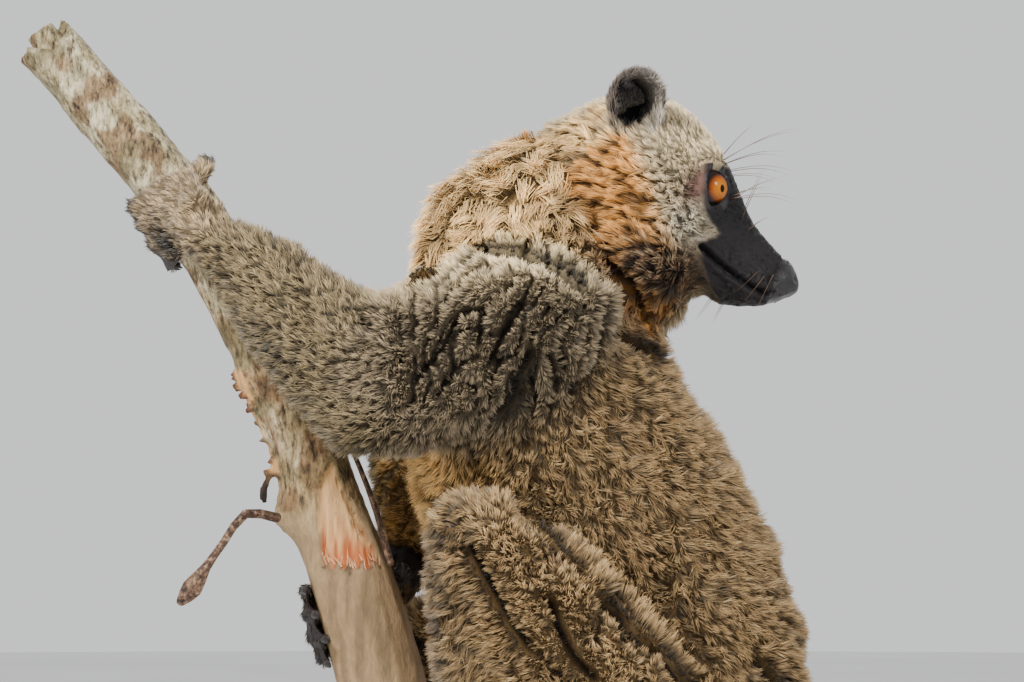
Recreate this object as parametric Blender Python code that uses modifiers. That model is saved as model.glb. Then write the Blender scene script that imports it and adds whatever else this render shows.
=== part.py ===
"""Brown lemur clinging upright to a broken branch, life size, on a plain display stand.

The lemur's belly faces -X and its left side faces -Y. The head is turned back over the
right shoulder, so the nose points to +X. Every soft part is drawn out to the tips of its coat.
"""

import math

import bmesh
import bpy
import numpy as np
from mathutils import Matrix, Vector
from mathutils.bvhtree import BVHTree

# Stand, in metres
BASE_LENGTH = 0.44
BASE_WIDTH = 0.30
BASE_THICKNESS = 0.018
BASE_CORNER = 0.030
BASE_EDGE = 0.002
ROD_RADIUS = 0.007
CUP_RADIUS = 0.015
CUP_THICKNESS = 0.004
PERCH_HEIGHT = 0.240
PERCH_SHIFT = -0.010

# Gap kept between pieces that touch
GAP = 0.0003

# Facets that meet at less than this angle are merged once the pieces are cut
FLAT_ANGLE = math.radians(0.8)

# Bones, joint centre to joint centre
HUMERUS = 0.093
FOREARM = 0.104
FEMUR = 0.141
SHIN = 0.130

# Joint centres: across (x), to the right side (y) and above the perch's cut end (z)
SHOULDER = (0.054, 0.047, 0.409)
HIP = (0.101, 0.040, 0.204)
WRIST_LEFT = (-0.094, -0.025, 0.430)
WRIST_RIGHT = (-0.012, 0.034, 0.290)
ANKLE_LEFT = (0.014, -0.032, 0.190)
ANKLE_RIGHT = (0.022, 0.034, 0.150)

# Head: nose to back of skull along its own axis, pitched down
HEAD_ORIGIN = (0.056, 0.0, 0.468)
HEAD_PITCH = math.radians(27.9)
EYE_RADIUS = 0.0085
EYE_PLACE = (0.0608, 0.0154, 0.0140)
EYE_TURN = math.radians(36)
EAR_PLACE = (0.0180, 0.0300, 0.0300)

# Perch axis: across, to the right, above the cut end, then radius
PERCH_AXIS = [
    (0.033, 0.000, 0.000, 0.0215),
    (0.012, 0.001, 0.096, 0.0205),
    (-0.010, 0.000, 0.192, 0.0195),
    (-0.032, -0.001, 0.277, 0.0180),
    (-0.046, 0.000, 0.319, 0.0162),
    (-0.060, 0.001, 0.362, 0.0152),
    (-0.082, 0.000, 0.404, 0.0145),
    (-0.113, -0.001, 0.452, 0.0137),
    (-0.164, 0.000, 0.513, 0.0127),
]


def place(x, y, z):
    """A point given from the perch's cut end, in the part's frame."""
    return Vector((x + PERCH_SHIFT, y, z + PERCH_HEIGHT))


def mirrored(point):
    """The same point on the other side of the median plane."""
    return (point[0], -point[1], point[2])


def material(name, colour, roughness, metallic=0.0):
    made = bpy.data.materials.new(name)
    made.use_nodes = True
    shader = made.node_tree.nodes["Principled BSDF"]
    shader.inputs["Base Color"].default_value = (*colour, 1.0)
    shader.inputs["Roughness"].default_value = roughness
    shader.inputs["Metallic"].default_value = metallic
    return made


def spline(rows, steps):
    """Points of a Catmull-Rom curve through the rows, each row a list of numbers."""
    keys = np.array(rows, dtype=float)
    keys = np.vstack([2 * keys[0] - keys[1], keys, 2 * keys[-1] - keys[-2]])
    out = []
    for index in range(1, len(keys) - 2):
        before, start, end, after = keys[index - 1:index + 3]
        for step in range(steps):
            t = step / steps
            out.append(0.5 * (2 * start + (end - before) * t
                              + (2 * before - 5 * start + 4 * end - after) * t ** 2
                              + (3 * start - before - 3 * end + after) * t ** 3))
    out.append(keys[-2])
    return np.array(out)


def section(angle, half_deep, half_wide, taper):
    """A point of a cross-section: deep is up, and taper narrows its upper half."""
    deep = half_deep * math.sin(angle)
    wide = half_wide * math.cos(angle) * (1 - taper * math.sin(angle))
    return deep, wide


def loft(rows, side=Vector((0, 1, 0)), sides=14, steps=2, dome=0.6, facing=None):
    """A closed tube through rows of x, y, z, half depth, half width and taper.

    The width lies along the side direction. The sections stand square to the path, or to the
    facing direction where one is given. The ends are closed by domes, whose height is a share
    of the end's half depth.
    """
    rows = spline([list(row) + [0.0] * (6 - len(row)) for row in rows], steps)
    centres = [Vector(row[:3]) for row in rows]
    bm = bmesh.new()
    rings = []
    for index, row in enumerate(rows):
        ahead = centres[min(index + 1, len(rows) - 1)]
        behind = centres[max(index - 1, 0)]
        along = facing or (ahead - behind).normalized()
        across = (side - along * side.dot(along)).normalized()
        deep = along.cross(across)
        shells = [(0.0, 1.0)]
        if index == 0:
            shells = [(-0.75 * dome, 0.66), (0.0, 1.0)]
        if index == len(rows) - 1:
            shells = [(0.0, 1.0), (0.75 * dome, 0.66)]
        for shift, size in shells:
            ring = []
            for turn in range(sides):
                up, out = section(math.tau * turn / sides, row[3] * size, row[4] * size, row[5])
                ring.append(bm.verts.new(centres[index] + along * shift * row[3]
                                         + deep * up + across * out))
            rings.append(ring)
    first = bm.verts.new(centres[0] - (centres[1] - centres[0]).normalized() * rows[0][3] * dome)
    last = bm.verts.new(centres[-1] + (centres[-1] - centres[-2]).normalized() * rows[-1][3] * dome)
    for lower, upper in zip(rings, rings[1:]):
        for turn in range(sides):
            after = (turn + 1) % sides
            bm.faces.new((lower[turn], lower[after], upper[after], upper[turn]))
    for turn in range(sides):
        after = (turn + 1) % sides
        bm.faces.new((first, rings[0][after], rings[0][turn]))
        bm.faces.new((last, rings[-1][turn], rings[-1][after]))
    bmesh.ops.recalc_face_normals(bm, faces=bm.faces)
    return bm


def ball(centre, sizes, turn=None, segments=12, rings=7):
    """An ellipsoid of three half sizes, turned by a matrix."""
    bm = bmesh.new()
    bmesh.ops.create_uvsphere(bm, u_segments=segments, v_segments=rings, radius=1.0)
    spin = turn or Matrix.Identity(3)
    frame = Matrix.Translation(centre) @ spin.to_4x4() @ Matrix.Diagonal((*sizes, 1.0))
    bmesh.ops.transform(bm, matrix=frame, verts=bm.verts)
    return bm


def solid(name, shells, surface, collection):
    """One object from one or more closed shells."""
    mesh = bpy.data.meshes.new(name)
    whole = bmesh.new()
    for shell in shells:
        piece = bpy.data.meshes.new(name + ".shell")
        shell.to_mesh(piece)
        shell.free()
        whole.from_mesh(piece)
        bpy.data.meshes.remove(piece)
    bmesh.ops.triangulate(whole, faces=whole.faces)
    whole.to_mesh(mesh)
    whole.free()
    mesh.materials.append(surface)
    made = bpy.data.objects.new(name, mesh)
    collection.objects.link(made)
    return made


def freeze(thing):
    """Turn an object's modifiers into its own mesh."""
    seen = thing.evaluated_get(bpy.context.evaluated_depsgraph_get())
    mesh = bpy.data.meshes.new_from_object(seen)
    thing.modifiers.clear()
    old = thing.data
    thing.data = mesh
    name = old.name
    bpy.data.meshes.remove(old)
    mesh.name = name


def fuse(thing, voxel, triangles, smooth=3):
    """Fuse an object's shells into one skin, soften it and thin it to a triangle count."""
    join = thing.modifiers.new("Join", "REMESH")
    join.mode = "VOXEL"
    join.voxel_size = voxel
    soften = thing.modifiers.new("Soften", "SMOOTH")
    soften.factor = 0.5
    soften.iterations = smooth
    freeze(thing)
    thin = thing.modifiers.new("Thin", "DECIMATE")
    thin.ratio = min(1.0, triangles / (2.0 * len(thing.data.polygons)))
    thin.use_collapse_triangulate = True
    freeze(thing)


def keep_largest(thing):
    """Drop every loose scrap but the largest shell."""
    bm = bmesh.new()
    bm.from_mesh(thing.data)
    bmesh.ops.remove_doubles(bm, verts=bm.verts, dist=0.00002)
    left = set(bm.verts)
    shells = []
    while left:
        stack = [left.pop()]
        shell = list(stack)
        while stack:
            for edge in stack.pop().link_edges:
                for vert in edge.verts:
                    if vert in left:
                        left.discard(vert)
                        stack.append(vert)
                        shell.append(vert)
        shells.append(shell)
    shells.sort(key=len)
    for shell in shells[:-1]:
        bmesh.ops.delete(bm, geom=shell, context="VERTS")
    bm.to_mesh(thing.data)
    bm.free()


def bounds(thing):
    places = np.array([vert.co[:] for vert in thing.data.vertices])
    return places.min(axis=0), places.max(axis=0)


def tree(thing):
    bm = bmesh.new()
    bm.from_mesh(thing.data)
    made = BVHTree.FromBMesh(bm)
    bm.free()
    return made


def crossing(one, other):
    """Whether the surfaces of two objects cross."""
    low_one, high_one = bounds(one)
    low_other, high_other = bounds(other)
    if (low_one > high_other).any() or (low_other > high_one).any():
        return False
    return bool(tree(one).overlap(tree(other)))


def grown(thing, cutters):
    """A cutter: the object's whole shape, grown by a little more than the gap."""
    cutter = bpy.data.objects.new("cut_" + thing.name, thing.data.copy())
    cutters.objects.link(cutter)
    cutter.hide_render = True
    cutter.display_type = "WIRE"
    grow = cutter.modifiers.new("Grow", "DISPLACE")
    grow.strength = 1.3 * GAP
    grow.mid_level = 0.0
    freeze(cutter)
    return cutter


def carve(thing, shapes):
    """Cut each of the grown shapes that reaches an object out of it."""
    for shape in shapes:
        if not crossing(thing, shape):
            continue
        cut = thing.modifiers.new("Cut", "BOOLEAN")
        cut.operation = "DIFFERENCE"
        cut.solver = "EXACT"
        cut.object = shape
        freeze(thing)
        keep_largest(thing)


def settle(thing, made, cutters):
    """Cut the earlier pieces out of a new one, and add its whole shape to theirs."""
    shape = grown(thing, cutters)
    carve(thing, made)
    made.append(shape)


def tidy(thing):
    """Merge the facets that the cuts left lying flat."""
    bm = bmesh.new()
    bm.from_mesh(thing.data)
    bmesh.ops.dissolve_limit(bm, angle_limit=FLAT_ANGLE, verts=bm.verts, edges=bm.edges)
    bmesh.ops.triangulate(bm, faces=bm.faces)
    bm.to_mesh(thing.data)
    bm.free()


def middle_joint(start, end, first, second, pole):
    """The bent joint between two bones of given lengths, swung towards the pole direction."""
    start, end, pole = Vector(start), Vector(end), Vector(pole)
    reach = end - start
    span = min(reach.length, 0.999 * (first + second))
    along = reach.normalized()
    share = (first ** 2 - second ** 2 + span ** 2) / (2 * span)
    lift = math.sqrt(max(first ** 2 - share ** 2, 0.0))
    away = (pole - along * pole.dot(along)).normalized()
    return start + along * share + away * lift


def limb(start, end, rows):
    """Rows for a loft along a bone: share of its length, half depth, half width, sideways shift."""
    start, end = Vector(start), Vector(end)
    out = []
    for share, deep, wide, *shift in rows:
        centre = start.lerp(end, share) + Vector(shift[0] if shift else (0, 0, 0))
        out.append((*place(*centre), deep, wide))
    return out


def branch_at(height):
    """Centre, radius and the three directions of the perch at a height above its cut end."""
    rows = spline(PERCH_AXIS, 6)
    index = int(np.clip(np.searchsorted(rows[:, 2], height), 1, len(rows) - 1))
    low, high = rows[index - 1], rows[index]
    share = (height - low[2]) / (high[2] - low[2])
    row = low + (high - low) * share
    along = Vector(high[:3] - low[:3]).normalized()
    right = along.cross(Vector((0, 1, 0))).normalized() * -1
    return place(*row[:3]), row[3], along, right, along.cross(right)


def on_branch(height, degrees, lift, along_shift=0.0):
    """A point beside the perch: the angle runs from its right side towards the far side."""
    centre, radius, along, right, _ = branch_at(height)
    far = Vector((0, 1, 0))
    turn = math.radians(degrees)
    reach = radius + lift
    return centre + right * reach * math.cos(turn) + far * reach * math.sin(turn) + along * along_shift


def digit(height, angles, shifts, thick, tip):
    """A finger or toe wrapped round the perch, from its knuckle to its tip."""
    rows = []
    steps = 5
    for step in range(steps + 1):
        t = step / steps
        size = thick + (tip - thick) * t
        bend = 0.0022 * math.sin(math.pi * min(1.0, 1.4 * t))
        point = on_branch(height, angles[0] + (angles[1] - angles[0]) * t, size * 0.80 + bend,
                          shifts[0] + (shifts[1] - shifts[0]) * t)
        rows.append((*point, size, size))
    _, _, along, _, _ = branch_at(height)
    return loft(rows, side=along, sides=10, dome=0.8)


def grip(name, limb_end, height, palm_angle, turn, pads, digits, surface, collection):
    """A hand or foot closed on the perch: limb end, palm, and digits that wrap either way."""
    _, _, along, _, _ = branch_at(height)
    palm = on_branch(height, palm_angle, pads["lift"])
    knuckles = on_branch(height, palm_angle + turn * pads["knuckle_turn"], pads["lift"] * 0.8,
                         pads["knuckle_shift"])
    start = place(*limb_end)
    rows = [(*start.lerp(palm, -0.10), pads["end"], pads["end"] * 1.05),
            (*start.lerp(palm, 0.45), pads["deep"] * 1.05, pads["wide"] * 0.85),
            (*palm, pads["deep"], pads["wide"]),
            (*knuckles, pads["deep"] * 0.8, pads["wide"] * 0.95)]
    shells = [loft(rows, side=along, steps=3)]
    for first, last, low, high, thick, tip in digits:
        shells.append(digit(height, (palm_angle + turn * first, palm_angle + turn * last),
                            (low, high), thick, tip))
    if "heel" in pads:
        heel = place(*pads["heel"])
        shells.append(loft([(*heel, 0.008, 0.008), (*start.lerp(palm, 0.2), 0.010, 0.010)],
                           side=along, sides=12, steps=3))
    return solid(name, shells, surface, collection)


def head_point(along, aside, above):
    """A point of the head, from the back of the skull along its own pitched axis."""
    cos, sin = math.cos(HEAD_PITCH), math.sin(HEAD_PITCH)
    x, y, z = HEAD_ORIGIN
    return place(x + along * cos + above * sin, y + aside, z - along * sin + above * cos)


def head_turn():
    """Rotation whose x is the head's axis, y its far side and z its crown."""
    return Matrix.Rotation(HEAD_PITCH, 3, "Y")


def head_rows(sections):
    """Rows for a loft along the head: along, lower edge, upper edge, half width, taper."""
    rows = []
    for along, low, high, wide, *taper in sections:
        centre = head_point(along, 0.0, (low + high) / 2)
        rows.append((*centre, (high - low) / 2, wide, taper[0] if taper else 0.0))
    return rows


def build_head(surface, collection):
    skull = loft(head_rows([
        (-0.008, -0.016, 0.013, 0.019),
        (0.004, -0.030, 0.029, 0.031),
        (0.018, -0.036, 0.0375, 0.0365),
        (0.033, -0.040, 0.0410, 0.0375, 0.04),
        (0.047, -0.040, 0.0378, 0.0345, 0.10),
        (0.058, -0.037, 0.0325, 0.0300, 0.16),
        (0.066, -0.034, 0.0262, 0.0245, 0.22),
        (0.072, -0.0320, 0.0215, 0.0195, 0.28),
        (0.080, -0.0300, 0.0145, 0.0160, 0.32),
        (0.088, -0.0272, 0.0092, 0.0140, 0.34),
        (0.097, -0.0235, 0.0058, 0.0122, 0.30),
        (0.105, -0.0188, 0.0032, 0.0102, 0.22),
        (0.1105, -0.0140, 0.0006, 0.0078, 0.10),
        (0.1135, -0.0095, -0.0022, 0.0050),
    ]), sides=20, steps=2, dome=0.5, facing=head_turn() @ Vector((1, 0, 0)))
    shells = [skull]
    for side in (-1, 1):
        cheek = head_point(0.046, side * 0.018, -0.027)
        shells.append(ball(cheek, (0.029, 0.0235, 0.0235), head_turn()))
        brow = head_point(0.0545, side * 0.0130, 0.0240)
        shells.append(ball(brow, (0.010, 0.0095, 0.0080), head_turn()))
        lip = head_point(0.090, side * 0.0068, -0.0155)
        shells.append(ball(lip, (0.017, 0.0072, 0.0070), head_turn()))
    tuft = head_point(0.065, 0.0, -0.038)
    shells.append(ball(tuft, (0.015, 0.022, 0.0125), head_turn()))
    whole = solid("head", shells, surface, collection)
    fuse(whole, 0.0014, 650, 3)
    return whole


def build_eye(name, side, surface, collection):
    along, aside, above = EYE_PLACE
    centre = head_point(along, side * aside, above)
    turn = head_turn() @ Matrix.Rotation(side * EYE_TURN, 3, "Z") @ Matrix.Rotation(math.pi / 2, 3, "Y")
    shell = ball(centre, (EYE_RADIUS,) * 3, turn, segments=12, rings=7)
    return solid(name, [shell], surface, collection)


def build_ear(name, side, surface, collection, cutters):
    """A rounded, cupped ear that opens outwards and a little forwards."""
    along, aside, above = EAR_PLACE
    centre = head_point(along, side * aside, above)
    turn = (Matrix.Rotation(-side * math.radians(14), 3, "X")
            @ Matrix.Rotation(-side * math.radians(22), 3, "Z"))
    whole = solid(name, [ball(centre, (0.0140, 0.0085, 0.0165), turn)], surface, collection)
    hollow_centre = centre + turn @ Vector((0.0006, side * 0.0065, -0.0005))
    hollow = solid("hollow_" + name, [ball(hollow_centre, (0.0112, 0.0100, 0.0137), turn)],
                   surface, cutters)
    hollow.hide_render = True
    hollow.display_type = "WIRE"
    carve(whole, [hollow])
    return whole


def build_perch(surface, collection):
    """The branch: oval sections with ridges and knots, and a splintered top."""
    rows = spline(PERCH_AXIS, 3)
    sides = 12
    bm = bmesh.new()
    rings = []
    for index, row in enumerate(rows):
        _, _, along, right, _ = branch_at(row[2])
        centre = place(*row[:3])
        far = Vector((0, 1, 0))
        share = index / (len(rows) - 1)
        ring = []
        for turn in range(sides):
            angle = math.tau * turn / sides
            ridge = 0.0007 * math.sin(3 * angle + 9 * share) + 0.0006 * math.sin(5 * angle - 14 * share)
            knot = 0.0030 * math.exp(-((row[2] - 0.372) / 0.012) ** 2) * max(0.0, math.cos(angle - math.pi))
            knot += 0.0022 * math.exp(-((row[2] - 0.235) / 0.010) ** 2) * max(0.0, math.cos(angle + 2.0))
            reach = row[3] + ridge + knot
            point = centre + right * reach * math.cos(angle) + far * reach * math.sin(angle)
            if index == len(rows) - 1:
                point += along * (0.005 * math.sin(2 * angle + 0.6) + 0.003 * math.sin(5 * angle))
            if index == 0:
                point.z = centre.z
            ring.append(bm.verts.new(point))
        rings.append(ring)
    for lower, upper in zip(rings, rings[1:]):
        for turn in range(sides):
            after = (turn + 1) % sides
            bm.faces.new((lower[turn], lower[after], upper[after], upper[turn]))
    _, _, along, _, _ = branch_at(rows[-1][2])
    caps = ((rings[0], Vector((0, 0, 0))), (rings[-1], along * -0.006))
    for ring, sunk in caps:
        middle = sum((vert.co for vert in ring), Vector()) / sides
        hub = bm.verts.new(middle + sunk)
        for turn in range(sides):
            bm.faces.new((ring[turn], ring[(turn + 1) % sides], hub))
    bmesh.ops.recalc_face_normals(bm, faces=bm.faces)
    return solid("perch", [bm], surface, collection)


def build_twig(surface, collection):
    """A dead twig that curls down from the branch to a dry bud."""
    rows = [(-0.066, -0.0120, 0.312, 0.0024, 0.0024), (-0.079, -0.0200, 0.314, 0.0021, 0.0021),
            (-0.088, -0.0260, 0.302, 0.0019, 0.0019), (-0.095, -0.0290, 0.292, 0.0023, 0.0021),
            (-0.101, -0.0300, 0.283, 0.0050, 0.0030), (-0.106, -0.0300, 0.277, 0.0022, 0.0016)]
    placed = [(*place(*row[:3]), *row[3:]) for row in rows]
    return solid("perch_twig", [loft(placed, sides=6, steps=2)], surface, collection)


def build_sliver(surface, collection):
    """A thin split sliver that stands off the branch's right edge."""
    rows = []
    for share in (0.0, 0.35, 0.7, 1.0):
        height = 0.287 + 0.060 * share
        lift = 0.0026 + 0.0030 * math.sin(math.pi * share)
        rows.append((*on_branch(height, -28, lift), 0.0018 - 0.0008 * share, 0.0028 - 0.0014 * share))
    return solid("perch_sliver", [loft(rows, sides=6, steps=2)], surface, collection)


def build_stand(steel, board, collection):
    bm = bmesh.new()
    bmesh.ops.create_cube(bm, size=1.0)
    bmesh.ops.scale(bm, vec=(BASE_LENGTH, BASE_WIDTH, BASE_THICKNESS), verts=bm.verts)
    upright = [edge for edge in bm.edges
               if abs(edge.verts[0].co.z - edge.verts[1].co.z) > BASE_THICKNESS / 2]
    bmesh.ops.bevel(bm, geom=upright, offset=BASE_CORNER, segments=4, profile=0.5, affect="EDGES")
    rim = [edge for edge in bm.edges
           if min(vert.co.z for vert in edge.verts) > BASE_THICKNESS * 0.4]
    bmesh.ops.bevel(bm, geom=rim, offset=BASE_EDGE, segments=1, profile=0.5, affect="EDGES")
    bmesh.ops.translate(bm, vec=(0, 0, BASE_THICKNESS / 2), verts=bm.verts)
    solid("stand_base", [bm], board, collection)

    foot = place(*PERCH_AXIS[0][:3])
    rod_low = BASE_THICKNESS + GAP
    cup_low = PERCH_HEIGHT - GAP - CUP_THICKNESS
    for name, radius, low, high in (("stand_rod", ROD_RADIUS, rod_low, cup_low - GAP),
                                    ("stand_cup", CUP_RADIUS, cup_low, PERCH_HEIGHT - GAP)):
        bm = bmesh.new()
        bmesh.ops.create_cone(bm, cap_ends=True, segments=24, radius1=radius, radius2=radius,
                              depth=high - low)
        bmesh.ops.translate(bm, vec=(foot.x, foot.y, (low + high) / 2), verts=bm.verts)
        solid(name, [bm], steel, collection)


def build_arm(side_name, side, wrist, pole, hand, coat, collection, made, cutters):
    shoulder = Vector(SHOULDER if side > 0 else mirrored(SHOULDER))
    elbow = middle_joint(shoulder, wrist, HUMERUS, FOREARM, pole)
    upper = solid("upper_arm_" + side_name, [loft(limb(shoulder, elbow, [
        (-0.12, 0.027, 0.026, (-0.002, -0.010 * side, -0.013)),
        (0.10, 0.039, 0.030, (-0.001, 0.0, -0.006)), (0.45, 0.041, 0.028),
        (0.75, 0.038, 0.026, (0.0, 0.0, 0.003)), (1.0, 0.0325, 0.0235, (0.0, 0.0, 0.003))]))],
                  coat, collection)
    lower = solid("forearm_" + side_name, [loft(limb(elbow, wrist, [
        (-0.05, 0.032, 0.022, (0.004, 0.0, 0.004)), (0.20, 0.032, 0.022, (0.0045, 0.0, 0.0045)),
        (0.42, 0.0285, 0.0203, (0.003, 0.0, 0.003)), (0.70, 0.0228, 0.0168, (0.003, 0.0, 0.003)),
        (0.96, 0.0148, 0.0124, (0.001, 0.0, 0.001))]), sides=12)],
                  coat, collection)
    hand_node = grip("hand_" + side_name, wrist, *hand, coat, collection)
    fuse(hand_node, 0.0011, 225, 2)
    for piece in (upper, lower, hand_node):
        settle(piece, made, cutters)


def build_leg(side_name, side, ankle, pole, foot, coat, collection, made, cutters):
    hip = Vector(HIP if side > 0 else mirrored(HIP))
    knee = middle_joint(hip, ankle, FEMUR, SHIN, pole)
    thigh = solid("thigh_" + side_name, [loft(limb(hip, knee, [
        (-0.14, 0.030, 0.022), (0.05, 0.038, 0.029), (0.30, 0.040, 0.030), (0.55, 0.037, 0.028),
        (0.80, 0.031, 0.024), (1.0, 0.0225, 0.021)]), sides=12)], coat, collection)
    shin = solid("shin_" + side_name, [loft(limb(knee, ankle, [
        (-0.02, 0.0225, 0.020), (0.22, 0.0220, 0.0195), (0.50, 0.0180, 0.0170), (0.80, 0.0140, 0.0135),
        (0.98, 0.0120, 0.0120)]), sides=12)], coat, collection)
    foot_node = grip("foot_" + side_name, ankle, *foot, coat, collection)
    fuse(foot_node, 0.0012, 250, 2)
    for piece in (thigh, shin, foot_node):
        settle(piece, made, cutters)


def build_lemur():
    for thing in list(bpy.data.objects):
        bpy.data.objects.remove(thing)
    lemur = bpy.data.collections.new("brown_lemur")
    cutters = bpy.data.collections.new("cutters")
    for collection in (lemur, cutters):
        bpy.context.scene.collection.children.link(collection)

    coat = material("ticked_brown_coat", (0.23, 0.18, 0.12), 0.95)
    dark = material("ear_coat", (0.10, 0.09, 0.08), 0.9)
    amber = material("amber_eye", (0.80, 0.30, 0.03), 0.1)
    bark = material("grey_bark", (0.42, 0.37, 0.31), 0.9)
    steel = material("black_steel", (0.03, 0.03, 0.03), 0.45, 1.0)
    board = material("oiled_wood", (0.20, 0.11, 0.06), 0.5)

    build_stand(steel, board, lemur)
    made = []
    for piece in (build_perch(bark, lemur), build_twig(bark, lemur), build_sliver(bark, lemur)):
        settle(piece, made, cutters)

    torso_rows = [
        (0.062, 0.420, 0.030, 0.024), (0.056, 0.402, 0.046, 0.041), (0.052, 0.378, 0.0560, 0.054),
        (0.053, 0.339, 0.069, 0.060), (0.076, 0.292, 0.070, 0.059), (0.097, 0.249, 0.070, 0.057),
        (0.112, 0.212, 0.061, 0.053), (0.124, 0.182, 0.046, 0.044), (0.132, 0.164, 0.026, 0.028)]
    rows = [(*place(x, 0.0, z), deep, wide) for x, z, deep, wide in torso_rows]
    torso = solid("torso", [loft(rows, sides=16)], coat, lemur)
    settle(torso, made, cutters)

    neck_rows = [
        (0.062, 0.392, 0.044, 0.045), (0.047, 0.413, 0.057, 0.049), (0.046, 0.433, 0.055, 0.046),
        (0.055, 0.448, 0.040, 0.039), (0.066, 0.461, 0.029, 0.0305)]
    rows = [(*place(x, 0.0, z), deep, wide) for x, z, deep, wide in neck_rows]
    neck = solid("neck", [loft(rows)], coat, lemur)
    fuse(neck, 0.0020, 150, 2)

    for name, side in (("eye_left", 1), ("eye_right", -1)):
        settle(build_eye(name, side, amber, lemur), made, cutters)
    settle(build_head(coat, lemur), made, cutters)
    settle(neck, made, cutters)
    for name, side in (("ear_left", 1), ("ear_right", -1)):
        settle(build_ear(name, side, dark, lemur, cutters), made, cutters)

    left_hand = (0.442, -80, -1, {
        "lift": 0.0080, "knuckle_turn": 34, "knuckle_shift": 0.0, "end": 0.0120, "deep": 0.0088,
        "wide": 0.0170}, [
        (30, 120, 0.0130, 0.0150, 0.0048, 0.0034), (34, 134, 0.0050, 0.0050, 0.0050, 0.0036),
        (36, 140, -0.0040, -0.0060, 0.0050, 0.0036), (32, 124, -0.0125, -0.0170, 0.0047, 0.0034),
        (-30, -112, 0.0090, 0.0140, 0.0056, 0.0040)])
    right_hand = (0.273, 96, 1, {
        "lift": 0.0080, "knuckle_turn": 30, "knuckle_shift": 0.0, "end": 0.0120, "deep": 0.0088,
        "wide": 0.0165}, [
        (26, 104, 0.0120, 0.0140, 0.0046, 0.0034), (30, 116, 0.0040, 0.0030, 0.0048, 0.0036),
        (30, 122, -0.0045, -0.0080, 0.0048, 0.0036), (28, 112, -0.0125, -0.0185, 0.0046, 0.0034),
        (-32, -106, 0.0060, 0.0120, 0.0056, 0.0042)])
    build_arm("left", -1, WRIST_LEFT, (-0.3, -0.30, -1.0), left_hand, coat, lemur, made, cutters)
    build_arm("right", 1, WRIST_RIGHT, (-0.45, 1.0, 0.1), right_hand, coat, lemur, made, cutters)

    left_foot = (0.199, -52, -1, {
        "lift": 0.0085, "knuckle_turn": 34, "knuckle_shift": 0.010, "end": 0.0120, "deep": 0.0095,
        "wide": 0.0165, "heel": (0.033, -0.035, 0.175)}, [
        (30, 108, 0.0190, 0.0240, 0.0050, 0.0036), (34, 124, 0.0110, 0.0130, 0.0052, 0.0038),
        (34, 130, 0.0030, 0.0020, 0.0052, 0.0038), (32, 122, -0.0055, -0.0090, 0.0048, 0.0036),
        (-30, -120, 0.0060, 0.0120, 0.0070, 0.0052)])
    right_foot = (0.160, 52, 1, dict(left_foot[3], heel=(0.041, 0.037, 0.137)), left_foot[4])
    build_leg("left", -1, ANKLE_LEFT, (-0.40, -0.32, 0.90), left_foot, coat, lemur, made, cutters)
    build_leg("right", 1, ANKLE_RIGHT, (-0.49, 0.50, 0.71), right_foot, coat, lemur, made, cutters)

    tail_rows = spline([
        (0.146, 0.000, 0.206, 0.019, 0.020), (0.172, 0.000, 0.184, 0.0195, 0.0205),
        (0.186, 0.004, 0.140, 0.020, 0.021), (0.184, 0.012, 0.085, 0.0205, 0.0215),
        (0.170, 0.014, 0.030, 0.021, 0.022), (0.156, 0.006, -0.025, 0.0215, 0.0225),
        (0.154, -0.008, -0.080, 0.022, 0.023), (0.166, -0.018, -0.132, 0.020, 0.021),
        (0.184, -0.020, -0.172, 0.012, 0.013)], 3)
    lengths = (("tail_base", 0, 8), ("tail_middle", 8, 16), ("tail_end", 16, 24))
    for name, first, last in lengths:
        rows = [(*place(*row[:3]), *row[3:]) for row in tail_rows[first:last + 1]]
        piece = solid(name, [loft(rows, sides=10, steps=1, dome=0.5)], coat, lemur)
        settle(piece, made, cutters)

    for thing in lemur.objects:
        tidy(thing)
        thing.data.shade_smooth()


build_lemur()
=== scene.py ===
import itertools
import math
import time

import bmesh
import bpy
import numpy as np
from mathutils import Matrix, Vector
from mathutils.kdtree import KDTree


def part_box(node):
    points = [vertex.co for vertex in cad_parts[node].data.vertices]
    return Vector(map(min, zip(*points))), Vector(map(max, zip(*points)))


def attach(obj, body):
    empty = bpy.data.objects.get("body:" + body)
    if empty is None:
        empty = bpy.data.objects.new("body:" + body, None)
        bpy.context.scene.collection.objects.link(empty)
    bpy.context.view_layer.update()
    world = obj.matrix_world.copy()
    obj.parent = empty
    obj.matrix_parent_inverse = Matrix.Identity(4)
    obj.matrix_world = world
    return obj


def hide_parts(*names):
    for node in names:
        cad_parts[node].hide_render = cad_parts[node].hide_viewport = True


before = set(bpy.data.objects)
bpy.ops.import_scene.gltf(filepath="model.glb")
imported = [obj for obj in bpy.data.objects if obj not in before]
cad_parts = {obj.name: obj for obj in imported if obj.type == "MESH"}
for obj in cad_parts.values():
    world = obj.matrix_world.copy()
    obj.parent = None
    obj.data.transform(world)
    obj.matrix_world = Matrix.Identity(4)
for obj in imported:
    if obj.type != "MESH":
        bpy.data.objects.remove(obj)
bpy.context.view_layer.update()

boxes = {node: [np.array(corner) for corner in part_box(node)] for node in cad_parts}
started = time.time()
randomSeed = 11
weldGap = 0.00001
farAway = 9.0
bothSides = ("left", "right")
white = (1.0, 1.0, 1.0)


def tell(stage):
    print(stage, round(time.time() - started), "s")


def srgb(red, green, blue):
    # eight-bit colour to the linear values that shaders use
    values = np.array([red, green, blue], dtype=float) / 255
    return np.where(values <= 0.04045, values / 12.92, ((values + 0.055) / 1.055) ** 2.4)


def ease(values):
    values = np.clip(values, 0.0, 1.0)
    return values * values * (3 - 2 * values)


def unit(vectors):
    lengths = np.linalg.norm(vectors, axis=-1, keepdims=True)
    return vectors / np.maximum(lengths, 1e-9)


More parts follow.
